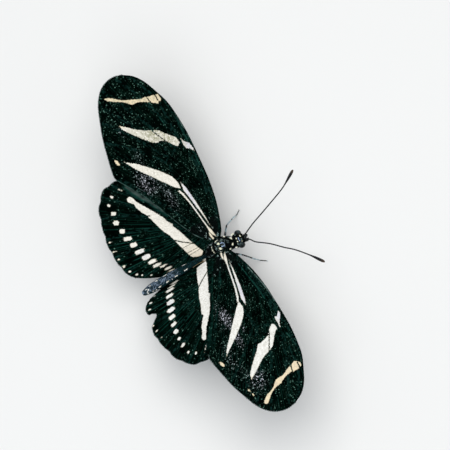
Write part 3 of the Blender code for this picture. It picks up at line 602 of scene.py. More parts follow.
HIND_BAND_LEFT = (
    (17.98, -13.16), (18.12, -12.57), (17.55, -12.00), (16.28, -11.63), (14.81, -10.73), (13.35, -9.82),
    (11.89, -8.92), (10.34, -8.06), (8.89, -7.57), (7.86, -6.86), (7.45, -7.08), (6.25, -6.46),
    (4.63, -5.86), (3.10, -5.42), (1.82, -4.84), (0.63, -4.43), (-0.81, -3.75), (-1.58, -4.51),
    (-1.5, -5.2), (-1.37, -5.63), (-1.08, -6.46), (-0.55, -6.83), (1.42, -7.42), (2.95, -7.86),
    (4.48, -8.30), (6.01, -8.74), (7.21, -9.36), (8.32, -9.82), (9.59, -10.19), (11.12, -10.63),
    (12.06, -11.0), (11.94, -10.3), (12.57, -11.11), (13.68, -11.78), (15.05, -12.31), (16.14, -12.40),
    (16.84, -13.10), (17.4, -13.35),
)
HIND_BAND_RIGHT = (
    (17.75, -12.7), (17.7, -12.1), (16.50, -11.62), (14.98, -10.88), (13.82, -10.01), (12.20, -8.95),
    (10.49, -8.02), (8.9, -7.45), (7.52, -6.72), (7.13, -7.02), (5.30, -6.24), (3.38, -5.61), (1.02, -4.78),
    (-0.14, -4.37), (-0.87, -4.31), (-0.80, -5.2), (-0.66, -6.1), (-0.54, -6.82), (1.55, -7.58), (3.26, -8.07),
    (4.52, -8.36), (5.88, -8.94), (7.30, -9.43), (8.84, -9.72), (10.03, -10.10), (11.40, -10.60),
    (11.69, -10.15), (13.09, -11.16), (14.37, -11.84), (16.01, -12.35), (17.0, -13.0),
)
HIND_CORNER = ((-1.08, -4.20), (-1.10, -4.62), (-1.75, -5.15), (-2.05, -4.5), (-1.6, -4.0))
HIND_CUTS = (
    ((4.75, -8.55), (1.55, -4.45), 0.12, 0.11),
    ((2.05, -7.7), (2.0, -5.1), 0.0, 0.04),
    ((0.45, -7.5), (0.5, -4.3), 0.0, 0.05),
    ((-0.3, -7.2), (0.0, -4.1), 0.0, 0.035),
)
# Spots in two rows near the hind edge: place, half length along the veins, half width.
SPOTS_LEFT = (
    (20.35, -13.56, 0.50, 0.18), (19.89, -16.03, 0.42, 0.30), (18.58, -17.54, 0.42, 0.34),
    (16.42, -17.50, 0.60, 0.50), (14.32, -17.97, 0.68, 0.60), (12.02, -17.68, 0.66, 0.58),
    (9.94, -17.39, 1.02, 0.52), (8.07, -16.92, 0.86, 0.60), (6.08, -16.42, 1.18, 0.55),
    (4.28, -15.69, 1.05, 0.62), (2.75, -15.04, 1.05, 0.50), (1.47, -14.47, 1.02, 0.42),
    (0.52, -13.34, 0.95, 0.25), (-0.63, -12.63, 0.90, 0.37), (-1.55, -12.26, 0.85, 0.18),
)
SPOTS_RIGHT = (
    (19.80, -13.18, 0.80, 0.14), (19.70, -15.58, 0.38, 0.28), (18.51, -17.02, 0.38, 0.28),
    (16.16, -17.36, 0.68, 0.38), (14.21, -17.51, 0.47, 0.40), (12.13, -17.41, 0.64, 0.58),
    (10.13, -17.17, 0.80, 0.48), (8.22, -16.80, 0.90, 0.58), (6.40, -16.27, 1.00, 0.60),
    (4.52, -15.60, 0.98, 0.62), (2.92, -15.17, 0.98, 0.46), (1.45, -14.54, 1.10, 0.44),
    (0.66, -13.74, 0.95, 0.24), (-0.12, -12.85, 1.00, 0.37),
)
DOTS_LEFT = (
    (11.08, -21.24, 0.34, 0.18), (8.83, -21.49, 0.45, 0.14), (6.83, -21.45, 0.28, 0.26),
    (4.85, -21.14, 0.36, 0.30), (3.24, -20.63, 0.30, 0.24), (1.87, -19.49, 0.34, 0.26),
    (1.09, -18.52, 0.28, 0.18), (-0.08, -16.71, 0.26, 0.2),
)
DOTS_RIGHT = (
    (11.78, -20.91, 0.22, 0.18), (9.54, -21.20, 0.34, 0.22), (7.9, -21.5, 0.30, 0.2),
    (3.67, -20.56, 0.34, 0.24), (2.16, -19.66, 0.36, 0.24), (0.8, -18.3, 0.28, 0.18),
)


def hindwing_marks(points, side):
    """Depth inside the cream marks of a hindwing, and how warm, bluish, glinting, shiny and thinly scaled
    each point is. The spots point away from the wing's middle, as the veins do. The part that slides under
    the forewing is grey, partly the rubbed scales' own grey and partly painted sheen. The bluish tinge is
    painted reflection; on the right wing a brown line of painted shade runs in the crease on the same value;
    the left wing's cream is painted warmer and darker, as shade on the wing turned from the light."""
    bands = (HIND_BAND_LEFT,) if side > 0 else (HIND_BAND_RIGHT, HIND_CORNER)
    depth = marks_depth(points, bands, HIND_CUTS if side > 0 else HIND_CUTS[:1])
    for out, fore, long, wide in (SPOTS_LEFT + DOTS_LEFT if side > 0 else SPOTS_RIGHT + DOTS_RIGHT):
        away = (max(0.85 * (out - 4.0), 0.8), fore + 3.0)
        depth = np.maximum(depth, depth_in_oval(points, (out, fore), 0.95 * long, 0.88 * wide, away, 3.2))
    warm_and_shade = np.clip((-0.9 - points[:, 0]) / 0.9, 0, 1) * (0.9 if side < 0 else 0.35) * (points[:, 1] > -8)
    warm_and_shade += 0.35 * np.clip((-20 - points[:, 1]) / 1.5, 0, 1) + 0.2 * bell(points, (-0.3, -13.3), 2.2, 1.6)
    # Painted reflection: a bluish tinge over the cream near one spot of the hind row.
    reflection_and_crease = 0.6 * bell(points, (5.0, -15.8), 1.5, 1.2)
    if side < 0:
        # Painted shade: a narrow brown line along the crease, on the same value as the bluish reflection but far
        # above one.
        reflection_and_crease += 2.2 * np.exp(-(reach_to(points, np.array(CREASE_SHADE_LINE)) / 0.13) ** 2)
    else:
        # Painted shade: the left hindwing's cream is warmer and darker, most towards the body, as on the wing turned
        # from the light.
        warm_and_shade += 0.2 + 0.35 * np.clip((4 - points[:, 0]) / 4, 0, 1) * (points[:, 1] > -8)
    # Partly the grey of rubbed scales and partly painted sheen: a grey zone along the line where the forewing rubs,
    # weaker towards the body.
    rub_and_sheen = reach_to(points, np.array(RUB_AND_SHEEN_LINE))
    grey = 0.6 * ease(1.2 - rub_and_sheen / 0.9) * np.clip((points[:, 0] - 4) / 8, 0.15, 1)
    return depth, warm_and_shade, reflection_and_crease, 0 * warm_and_shade - 0.2, grey if side > 0 else 0.3 * grey, 0 * warm_and_shade


hindwing_rows, hindwing_columns = 175, 150
hind_base = np.linspace((-0.5, -2.4), (-0.5, -0.5), hindwing_columns)
for word, side in (("left", 1), ("right", -1)):
    outer = np.array(HIND_OUTER)
    if side < 0:
        outer = np.vstack([outer[:9], TORN_NOTCH, outer[11:]])
    edge = scalloped(smooth_through(outer, hindwing_columns), 7)
    inner = HIND_INNER_LEFT if side > 0 else HIND_INNER_RIGHT
    flat = filled_patch(hind_base, smooth_through(HIND_FRONT, hindwing_rows), edge[::-1],
                        smooth_through(inner, hindwing_rows)[::-1])
    inward = 1 - ease((flat[..., 0] + 2.1) / 4.6)
    lift = -GUTTER_DEPTH * inward * ease((-1.2 - flat[..., 1]) / 10.0)
    marks_place = (flat + lift[..., None] * (0.309 * side, -0.055)).reshape(-1, 2)
    # How strongly the painted pleat highlights show: most near the body, fading outwards.
    pleat_glint = 0.95 - 0.60 * ease((flat[..., 0].ravel() - 6.0) / 9.0)
    wing = make_wing("hindwing_sheet_" + word, side, flat, lift, HINDWING, HIND_VEINS,
                     hindwing_marks(marks_place, side), (3.0, 1.5, 15.0, 0.45), pleat_glint)
    dress(wing, wing_scales, "wing_scales", "hindwing_" + word)


# Body. One soft skin over a hard case: the domed thorax that holds the wing muscles, a short neck, the
# head, and a slim abdomen of overlapping rings. Its marks are patches of pale hair and scales.

# Distance behind the wings, side and height of the centre, half width, half height, turn in degrees.
BODY_STATIONS = (
    (-5.93, -0.84, 8.95, 0.05, 0.08, -7), (-5.86, -0.83, 8.97, 0.42, 0.52, -7),
    (-5.74, -0.81, 9.0, 0.72, 0.86, -7), (-5.54, -0.79, 9.0, 0.94, 1.15, -7),
    (-5.2, -0.75, 9.0, 1.14, 1.34, -7), (-4.7, -0.69, 9.0, 1.26, 1.40, -7),
    (-4.15, -0.62, 9.0, 1.48, 1.32, -7), (-3.80, -0.58, 9.0, 1.58, 1.16, -7),
    (-3.62, -0.55, 8.97, 1.50, 0.95, -7), (-3.45, -0.50, 8.92, 1.00, 0.75, -5),
    (-3.30, -0.45, 8.85, 0.80, 0.78, -3), (-3.12, -0.40, 8.76, 1.05, 1.08, -2),
    (-2.9, -0.31, 8.7, 1.22, 1.28, 0), (-2.45, -0.19, 8.7, 1.42, 1.42, 0),
    (-2.10, -0.115, 8.7, 1.56, 1.54, 0), (-1.45, -0.024, 8.7, 1.78, 1.96, 0),
    (-0.6, 0.0, 8.7, 1.93, 2.2, 0), (0.3, 0.0, 8.7, 1.95, 2.25, 0), (1.1, 0.0, 8.7, 1.82, 2.10, 0),
    (1.85, 0.0, 8.7, 1.54, 1.82, 0), (2.5, -0.02, 8.68, 1.10, 1.34, 0), (2.95, -0.05, 8.6, 0.72, 0.92, 0),
    (3.3, -0.09, 8.52, 0.48, 0.62, 0), (3.6, -0.12, 8.5, 0.42, 0.50, 0),
)
ABDOMEN_PROFILE = (
    (0.0, 0.40), (0.05, 0.37), (0.10, 0.40), (0.18, 0.50), (0.28, 0.66), (0.38, 0.83), (0.5, 0.93),
    (0.68, 1.04), (0.8, 1.06), (0.9, 0.97), (1.0, 0.60),
)
ABDOMEN_START = 3.45
ABDOMEN_LENGTH = 16.6
ABDOMEN_RINGS = 8

# Tufts of pale hair: side, distance behind the wings, height, half length, half width, direction.
BODY_SPOTS = (
    (0.22, -0.24, 10.90, 0.31, 0.28, 1, 0), (-0.96, -0.17, 10.62, 0.38, 0.25, -0.27, -0.32),
    (1.38, -2.03, 9.50, 0.36, 0.20, -0.95, -0.42), (0.27, -3.19, 9.60, 0.32, 0.18, -0.94, -0.33),
    (-1.08, -2.99, 9.62, 0.34, 0.19, -0.97, 0.24), (-1.52, -1.99, 9.20, 0.36, 0.20, -0.94, 0.33),
    (0.95, -3.85, 9.72, 0.40, 0.20, 0, -1), (-1.96, -3.50, 9.15, 0.44, 0.20, 0.17, -0.99),
    (-0.43, -5.29, 10.24, 0.28, 0.11, -1, 0), (-1.56, -5.17, 9.86, 0.26, 0.07, -0.99, -0.16),
    (-0.60, -4.30, 10.34, 0.15, 0.13, 1, 0), (-1.28, -4.21, 10.16, 0.15, 0.13, 1, 0),
    (-1.74, 0.30, 10.42, 0.42, 0.18, -0.2, -0.98), (1.01, -0.01, 10.60, 0.50, 0.11, 0.35, -0.94),
)
BODY_STREAK = ((0.32, 1.37, 10.67), (-0.41, 1.62, 10.55), (-1.09, 1.45, 10.22))
# Painted sheen: bluish arcs where the light shines off the top of the thorax and the face.
SHEEN_ARCS = (
    ((-0.02, -0.63, 10.88), (0.05, -0.90, 10.82), (0.02, -1.14, 10.74), (-0.15, -1.36, 10.66),
     (-0.41, -1.44, 10.60), (-0.64, -1.36, 10.58), (-0.73, -1.20, 10.56), (-0.76, -0.67, 10.68)),
    ((-0.62, -4.78, 10.42), (-0.88, -4.72, 10.38), (-1.41, -4.77, 10.12)),
)
# Patches of hair painted bright as glints: side, distance behind the wings, height, half length, half width,
# direction.
HAIR_GLINT_PATCHES = ((0.17, -1.83, 10.38, 0.30, 0.15, -0.5, -0.87), (1.44, -0.89, 10.04, 0.35, 0.24, -0.5, -0.87))
# White spots on the abdomen: distance behind the wings, degrees from the top to the left, half length.
FLANK_SPOTS = (
    (9.0, 56, 0.55), (13.9, 48, 0.44), (16.2, 38, 0.24), (18.0, 24, 0.20), (19.1, 12, 0.16), (18.7, -10, 0.14),
    (19.1, -30, 0.12), (9.1, -48, 0.50), (11.65, -50, 0.36), (12.8, -58, 0.10), (14.0, -52, 0.34),
    (16.1, -56, 0.30), (17.1, -68, 0.13), (17.9, -62, 0.22), (19.1, -60, 0.14),
)


def abdomen_axis(share):
    """Side and height of the abdomen's centre: it swings to the right as a quarter sine and a little
    more at the tip, and sags as the one and a half power of the way along."""
    return -0.12 - 0.24 * np.sin(share * math.pi / 2) - 0.15 * share ** 4, 8.5 - 0.85 * share ** 1.5


def abdomen_stations(count):
    """Stations of the abdomen: its axis sags and turns a little to the right towards the tip, and its
    radius follows the profile, less a narrow bell at each joint between rings and a slight flare
    behind it. A half circle closes the tip."""
    share = np.linspace(0.012, 1, count)
    profile = smooth_through(ABDOMEN_PROFILE, 200)
    ring = share * ABDOMEN_RINGS % 1
    groove = np.exp(-(np.minimum(ring, 1 - ring) / 0.05) ** 2) * (share > 0.06)
    radius = np.interp(share, profile[:, 0], profile[:, 1]) * (1 - 0.06 * groove + 0.035 * (ring - 0.5))
    turned = np.linspace(0, math.pi / 2, 9)[1:-1]
    radius = np.concatenate([radius, radius[-1] * np.cos(turned)])
    back = np.concatenate([ABDOMEN_START + ABDOMEN_LENGTH * share,
                           ABDOMEN_START + ABDOMEN_LENGTH + 0.4 * np.sin(turned)])
    share = np.concatenate([share, np.ones(len(turned))])
    side, height = abdomen_axis(share)
    return np.stack([back, side, height, radius, 1.05 * radius, 0 * share], 1)


def body_rings(stations, sides):
    """Rings across the body: side goes as the sine and height as the cosine of the angle from the top,
    and each ring is turned about the upright by its own angle."""
    back, centre, height, wide, high, turn = stations.T[..., None]
    angle = np.arange(sides) * 2 * math.pi / sides
    across = wide * np.sin(angle)
    turn = np.radians(turn)
    return np.stack([centre + across * np.cos(turn), back + across * np.sin(turn) + BODY_SHIFT,
                     height + high * np.cos(angle)], -1)


def closed_skin(rings):
    """Points, quads and triangles of a skin through rings, with a fan of faces over each end. The faces
    are turned round if the volume they enclose comes out negative."""
    rows, sides = rings.shape[:2]
    points = np.concatenate([rings.reshape(-1, 3), rings[0].mean(0)[None], rings[-1].mean(0)[None]])
    quads = grid_quads(rows, sides, around=True)
    k = np.arange(sides)
    after = (k + 1) % sides
    last = (rows - 1) * sides
    fans = np.concatenate([np.stack([k, after, 0 * k + rows * sides], 1),
                           np.stack([last + after, last + k, 0 * k + rows * sides + 1], 1)])
    a, b, c, d = (points[quads[:, n]] - points[0] for n in range(4))
    volume = (a * np.cross(b, c)).sum() + (a * np.cross(c, d)).sum()
    return (points, quads, fans) if volume > 0 else (points, quads[:, ::-1], fans[:, ::-1])


def depth_in_bean(places, x, back, height, long, wide, dx, dy):
    """Depth inside a bean round a level axis: the root of the squared shares of its half length along
    the axis and of its half width off it falls short of one by the depth in half widths."""
    axis = np.array((dx, dy, 0.0)) / math.hypot(dx, dy)
    off = places - (x, back, height)
    along = off @ axis
    aside = np.linalg.norm(off - along[:, None] * axis, axis=1)
    return (1 - np.hypot(along / long, aside / wide)) * wide


def spot_depths(places):
    """Depth inside the pale tufts, the arcs of painted sheen and the patches of painted glint, for places
    on the body in millimetres, and the angle from the top round the abdomen. The spots of the flanks are
    measured along and round the abdomen."""
    near = places - (0, BODY_SHIFT, 0)
    depth = np.max([depth_in_bean(near, *spot) for spot in BODY_SPOTS], axis=0)
    depth = np.maximum(depth, 0.11 - reach_to(near, np.array(BODY_STREAK)))
    back = near[:, 1]
    share = np.clip((back - ABDOMEN_START) / ABDOMEN_LENGTH, 0, 1)
    off = near[:, [0, 2]] - np.stack(abdomen_axis(share), 1)
    angle = np.arctan2(off[:, 0], off[:, 1])
    for middle, turned, long in FLANK_SPOTS:
        measure = np.hypot((back - middle) / long, (angle - math.radians(turned)) / 0.13)
        depth = np.where(back > 5, np.maximum(depth, (1 - measure) * 0.13), depth)
    arc_sheen = np.max([0.07 - reach_to(near, np.array(line)) for line in SHEEN_ARCS], axis=0)
    grey = np.max([depth_in_bean(near, *patch) for patch in HAIR_GLINT_PATCHES], axis=0)
    return depth, arc_sheen, grey, angle


body_grid = body_rings(np.vstack([smooth_through(BODY_STATIONS, 230), abdomen_stations(230)]), 96)
skin_points, quads, fans = closed_skin(body_grid)
body_skin = build_mesh("body_skin", skin_points, quads, fans)
pale, arc_sheen, _, angle = spot_depths(skin_points)
rear = ease((skin_points[:, 1] - 11) / 4) * ease((1.25 - angle) / 0.35) * ease((angle + 1.0) / 0.3)
add_values(body_skin, marks=np.stack([np.clip(pale, -0.6, 0.6), arc_sheen, rear], 1))

body_finish, tree, shader, place = new_finish("body_finish", 0.5, 0.08)
marks = node(tree, "Attribute", attribute_name="marks").outputs["Vector"]
marks = node(tree, "SeparateXYZ", {0: marks}).outputs
specks = use_group(tree, scale_specks, {"Place": place, "Size": 6.0, "Amount": 0.22})
streaky = node(tree, "TexNoise", {"Vector": place, "Scale": 1.1, "Detail": 4.0}).outputs["Fac"]
dark = blend(tree, specks["Grain"], (0.0008, 0.0020, 0.0020, 1), (0.0025, 0.0065, 0.0060, 1))
grey = blend(tree, ramp(tree, streaky, 0.35, 0.65), (0.010, 0.012, 0.020, 1), (0.060, 0.066, 0.105, 1))
colour = blend(tree, calc(tree, "MULTIPLY", marks[2], 0.9), dark, grey)
colour = blend(tree, specks["Speck"], colour, (0.045, 0.075, 0.085, 1))
# Painted sheen: the bluish arcs on the skin.
colour = blend(tree, ramp(tree, marks[1], -0.04, 0.08), colour, (0.18, 0.25, 0.36, 1))
mask = use_group(tree, stepped_edge, {"Place": place, "Depth": marks[0]})["Mask"]
colour = blend(tree, mask, colour, (0.92, 0.88, 0.60, 1))
finish_with(tree, shader, colour, specks["Height"], 0.05, 0.8)
dress(body_skin, body_finish, "body_hair", "thorax", "abdomen", "head")


# Coat. Short stiff hair covers the thorax, head and wing roots and lies backwards. Narrow flat scales
# overlap along the abdomen. Each hair or scale is a thin three-sided blade rooted in the skin.

UV_PATCH = 0.003


def sow(rings, count, weight, rng):
    """Random roots on a grid of rings, thicker where weight is higher: each takes a cell with a chance
    of its area times its weight and a random place inside it. Gives the places, the outward normals,
    the directions towards the tail and the places on the unwrapped skin."""
    rows, sides = rings.shape[:2]
    closed = np.concatenate([rings, rings[:, :1]], 1)
    down = closed[1:, :-1] - closed[:-1, :-1]
    across = closed[:-1, 1:] - closed[:-1, :-1]
    normal = np.cross(down, across)
    area = np.linalg.norm(normal, axis=-1)
    outward = closed[:-1, :-1] - closed[:-1, :-1].mean(1, keepdims=True)
    normal *= np.sign((normal * outward).sum(-1, keepdims=True)) / np.maximum(area[..., None], 1e-12)
    chance = (area * weight(closed[:-1, :-1])).ravel()
    cell = rng.choice(len(chance), count, p=chance / chance.sum())
    i, j = np.divmod(cell, sides)
    s, t = rng.random((2, count, 1))
    place = ((1 - s) * ((1 - t) * closed[i, j] + t * closed[i, j + 1])
             + s * ((1 - t) * closed[i + 1, j] + t * closed[i + 1, j + 1]))
    lie = down[i, j] / np.maximum(np.linalg.norm(down[i, j], axis=1, keepdims=True), 1e-12)
    spot = np.stack([(j + t[:, 0]) / sides, (i + s[:, 0]) / rows], 1)
    return place, normal[i, j], lie, spot


def blades(name, place, normal, lie, spot, length, width, thick, rise, values):
    """Tapered blades of three sides, with three rings of three points and a tip each: they run along
    their lie and rise off the skin as a parabola that flattens towards the tip."""
    count = len(place)
    t = np.array((0.0, 0.4, 0.75))[None, :, None]
    shape = np.array((1.0, 0.9, 0.55))[None, :, None, None]
    length, width, thick, rise = (
        np.broadcast_to(value, count)[:, None, None] for value in (length, width, thick, rise))
    centre = (place[:, None] + lie[:, None] * length * t
              + normal[:, None] * (length * rise * t * (1.6 - 0.8 * t) - 0.05 * (t == 0)))
    aside = np.cross(lie, normal)
    corners = np.stack([aside, -aside, normal], 1)[:, None] * np.stack([width, width, thick], 2)
    rings = centre[:, :, None] + corners * shape
    tip = place[:, None] + lie[:, None] * length + normal[:, None] * length * rise * 0.8
    points = np.concatenate([rings.reshape(count, 9, 3), tip], 1)
    low = np.array([(3 * s + k, 3 * s + (k + 1) % 3, 3 * s + 3 + (k + 1) % 3, 3 * s + 3 + k)
                    for s in (0, 1) for k in (0, 1, 2)])
    ends = np.array([(6, 7, 9), (7, 8, 9), (8, 6, 9), (0, 2, 1)])
    first = 10 * np.arange(count)[:, None, None]
    a, b, c = (points[:, n] - points[:, 9] for n in (0, 1, 2))
    if (a * np.cross(b, c)).sum() > 0:
        low, ends = low[:, ::-1], ends[:, ::-1]
    quads, triangles = (first + low).reshape(-1, 4), (first + ends).reshape(-1, 3)
    made = build_mesh(name, points.reshape(-1, 3), quads, triangles)
    share = np.array((0, 0, 0, 0.4, 0.4, 0.4, 0.75, 0.75, 0.75, 1.0))
    add_values(made, coat=np.column_stack([np.repeat(values, 10, axis=0), np.tile(share, count)]))
    local = np.stack([np.array((0, 1, 0.5, 0, 1, 0.5, 0, 1, 0.5, 0.5)), share], 1) - 0.5
    corner_uv = (spot[:, None] + UV_PATCH * local).reshape(-1, 2).astype(np.float32)
    corner = np.empty(len(made.data.loops), np.int32)
    made.data.loops.foreach_get("vertex_index", corner)
    made.data.uv_layers.new(name="OFBake").data.foreach_set("uv", corner_uv[corner].ravel())
    return made


def in_glint_locks(place, count, reach, rng):
    """True for the hairs of a few random locks, which are those within reach of a lock's first hair. The locks are
    painted bright as glints.
    """
    first = place[rng.choice(len(place), count)]
    return np.linalg.norm(place[:, None] - first[None], axis=-1).min(1) < reach


def coat_values(place, glint_locks, rng):
    """How pale each hair is, one in a tuft, and a shade that is a painted glint, bright, for the few locks
    that catch the light and for the glint patches, and two for the arcs of painted sheen; then how near
    each other hair is to a mark, as a share."""
    pale, arc_sheen, grey, _ = spot_depths(place)
    mark = np.maximum(pale, arc_sheen)
    near = np.clip(1 + mark / 0.3, 0, 1) * (mark < 0)
    inside = np.clip(pale / 0.03 + 0.8, 0, 1)
    level = rng.random(len(place))
    shade = np.where(in_glint_locks(place, glint_locks, 0.14, rng) | (grey > 0), 0.5 + 0.5 * level, 0.010 * level)
    return np.stack([inside, np.where(arc_sheen > 0, 2.0, shade)], 1), near


def thorax_weight(place):
    """Hair grows from the neck to the waist, thinner under the body."""
    back = place[..., 1] - BODY_SHIFT
    return ease((back + 3.6) / 0.4) * ease((3.7 - back) / 0.8) * (0.5 + 0.5 * (place[..., 2] > 7.5))


def head_weight(place):
    """Hair grows all over the head but the face's front edge."""
    back = place[..., 1] - BODY_SHIFT
    return ease((-3.3 - back) / 0.3) * ease((back + 5.95) / 0.3)


def abdomen_weight(place):
    """Scales grow over the whole abdomen."""
    return ease((place[..., 1] - BODY_SHIFT - 3.0) / 0.8)


coat_finish, tree, shader, place = new_finish("coat_finish", 0.5, 0.02)
coat = node(tree, "Attribute", attribute_name="coat").outputs["Vector"]
coat = node(tree, "SeparateXYZ", {0: coat}).outputs
# The hair runs from black to the bright teal of the painted glints as its shade rises.
dark = blend(tree, coat[1], (0.0004, 0.0014, 0.0014, 1), (0.340, 0.470, 0.450, 1))
# Painted sheen: hairs on the arcs turn bluish.
dark = blend(tree, ramp(tree, coat[1], 1.2, 1.6), dark, (0.480, 0.640, 0.900, 1))
tipped = blend(tree, calc(tree, "MULTIPLY", coat[2], 0.04), dark, (0.03, 0.04, 0.045, 1))
yellow = blend(tree, coat[1], (0.98, 0.98, 0.76, 1), (0.98, 0.98, 0.86, 1))
strand = node(tree, "TexNoise", {"Vector": place, "Scale": 9.0, "Detail": 2.0}).outputs["Fac"]
finish_with(tree, shader, blend(tree, coat[0], tipped, yellow), strand, 0.02, 0.5)

rng = np.random.default_rng(41)
for name, count, weight, low, high, rise, glint_locks in (
        ("thorax_hair", 8500, thorax_weight, 0.38, 0.80, 0.24, 85),
        ("head_hair", 4200, head_weight, 0.22, 0.40, 0.26, 14)):
    root, normal, lie, spot = sow(body_grid, count, weight, rng)
    lie = lie + 0.35 * rng.normal(size=lie.shape)
    lie -= normal * (lie * normal).sum(1, keepdims=True)
    lie /= np.linalg.norm(lie, axis=1, keepdims=True)
    values, near = coat_values(root, glint_locks, rng)
    patch = (values[:, 0] > 0.5) | (values[:, 1] > 1)
    length = (low + (high - low) * rng.random(count)) * np.where(patch, 0.34, 1 - 0.7 * near)
    steep = np.where(patch, 0.45, (rise + 0.25 * rng.random(count)) * (1 - 0.75 * near))
    width = np.where(patch, 0.115, np.where(values[:, 1] > 0.3, 0.055, 0.036))
    hair = blades(name, root, normal, lie, spot, length, width, 0.03, steep, values)
    dress(hair, coat_finish, "body_hair")

# Some pale tufts stand off the skin as short brushes. Their hairs run out from the nearest skin.
RAISED_TUFTS = tuple(BODY_SPOTS[n] for n in (2, 3, 5, 6, 7, 12, 13))
hairs = 70
turned, reach = 2 * math.pi * rng.random((len(RAISED_TUFTS), hairs)), np.sqrt(rng.random((len(RAISED_TUFTS), hairs)))
root, end = [], []
for (x, back, height, long, wide, dx, dy), angle, far in zip(RAISED_TUFTS, turned, reach):
    centre = np.array((x, back + BODY_SHIFT, height))
    axis = np.array((dx, dy, 0.0)) / math.hypot(dx, dy)
    aside = np.cross(axis, (0, 0, 1))
    spread = long * (far * np.cos(angle))[:, None] * axis + wide * (far * np.sin(angle))[:, None] * aside
    nearest = skin_points[np.linalg.norm(skin_points - centre, axis=1).argmin()]
    outward = np.array((0.35 * math.copysign(1, x + 0.4), 0, 0.9))
    root.append(nearest + 0.9 * spread - 0.05 * outward)
    end.append(centre + spread + 0.10 * outward)
root, end = np.concatenate(root), np.concatenate(end)
run = np.linalg.norm(end - root, axis=1)
lie = (end - root) / run[:, None]
normal = np.cross(lie, (1, 0, 0))
normal /= np.linalg.norm(normal, axis=1, keepdims=True)
spot = np.stack([(root[:, 0] + 3) / 6, (root[:, 1] + 6) / 27], 1)
tufts = blades("pale_tufts", root, normal, lie, spot, run, 0.10, 0.06, 0.05, np.tile((1.0, 0.9), (len(root), 1)))
dress(tufts, coat_finish, "body_hair")

scale_finish, tree, shader, place = new_finish("abdomen_scale_finish", 0.45, 0.04)
coat = node(tree, "Attribute", attribute_name="coat").outputs["Vector"]
coat = node(tree, "SeparateXYZ", {0: coat}).outputs
dark = blend(tree, coat[1], (0.0006, 0.0024, 0.0030, 1), (0.045, 0.240, 0.275, 1))
colour = blend(tree, ramp(tree, coat[1], 0.3, 1.0, smooth=False), (0.006, 0.016, 0.026, 1),
               (0.285, 0.380, 0.510, 1))
colour = blend(tree, ramp(tree, coat[1], 0.28, 0.32), dark, colour)
strand = node(tree, "TexNoise", {"Vector": place, "Scale": 9.0, "Detail": 2.0}).outputs["Fac"]
finish_with(tree, shader, blend(tree, coat[0], colour, (0.98, 0.99, 0.96, 1)), strand, 0.02, 0.5)

count = 10500
root, normal, lie, spot = sow(body_grid, count, abdomen_weight, rng)
values, near = coat_values(root, 1, rng)
angle = spot_depths(root)[3]
grey = ease((root[:, 1] - 10.0) / 4) * ease((1.25 - angle) / 0.35) * ease((angle + 1.0) / 0.3)
joint = ((root[:, 1] - BODY_SHIFT - ABDOMEN_START) / ABDOMEN_LENGTH * ABDOMEN_RINGS) % 1
mottle = np.sin(8.1 * root[:, 0] + 3 * np.sin(2.1 * root[:, 1])) * np.sin(4.9 * root[:, 1] + 3 * root[:, 0])
mottle = ease(0.5 + 0.75 * mottle) * (1 - 0.8 * (joint > 0.84)) * (1 - 0.6 * ease((root[:, 1] - 18.8) / 0.6))
luck, level = rng.random((2, count))
shade = 0.32 + 0.68 * (0.25 * level + 0.75 * mottle) * (0.55 + 0.45 * level)
values[:, 1] = np.where(luck < grey * (0.45 + 0.5 * mottle), shade, 0.26 * level ** 2)
# Painted highlight: the scales over the top of the abdomen's tip are pale, where they catch the light.
values[:, 1] = np.where((root[:, 1] > 20.35) & (angle > -0.6), 0.7 + 0.3 * level, values[:, 1])
long =(0.26 + 0.12 * rng.random(count)) * (1 - 0.45 * near)
steep = (0.12 + 0.1 * rng.random(count)) * (1 - 0.6 * near)
scales = blades("abdomen_scales", root, normal, lie, spot, long, 0.08, 0.018, steep, values)
dress(scales, scale_finish, "abdomen_scales")


# Wing roots and edges. Fine hair spreads from the thorax over the first millimetres of each forewing,
# and a fringe of short scales stands out round the outer edge of all four wings.


def fore_lift(flat):
    """Height of a forewing's arch above its plane: a parabola across the wing."""
    return FORE_CAMBER * (1 - ((flat[..., 1] + 3.5) / 9.5) ** 2)


def hind_lift(flat):
    """Depth of a hindwing's gutter below its plane: a smooth step inwards times one backwards."""
    inward = 1 - ease((flat[..., 0] + 2.1) / 4.6)
    return -GUTTER_DEPTH * inward * ease((-1.2 - flat[..., 1]) / 10.0)


def wing_blades(name, hang, side, flat, lift, lie, length, width, rise, shade):
    """Blades on a wing, from flat roots, their lift and flat directions, all turned into the hung wing."""
    place = hung_wing(flat, lift, side, **hang)
    ahead = hung_wing(flat + 0.01 * lie, lift, side, **hang) - place
    above = hung_wing(flat, lift + 0.1, side, **hang) - place
    ahead /= np.linalg.norm(ahead, axis=1, keepdims=True)
    above /= np.linalg.norm(above, axis=1, keepdims=True)
    spot = (flat - flat.min(0)) / np.ptp(flat, axis=0)
    values = np.stack([0 * shade, shade], 1)
    return blades(name, place, above, ahead, spot, length, width, 0.02, rise, values)


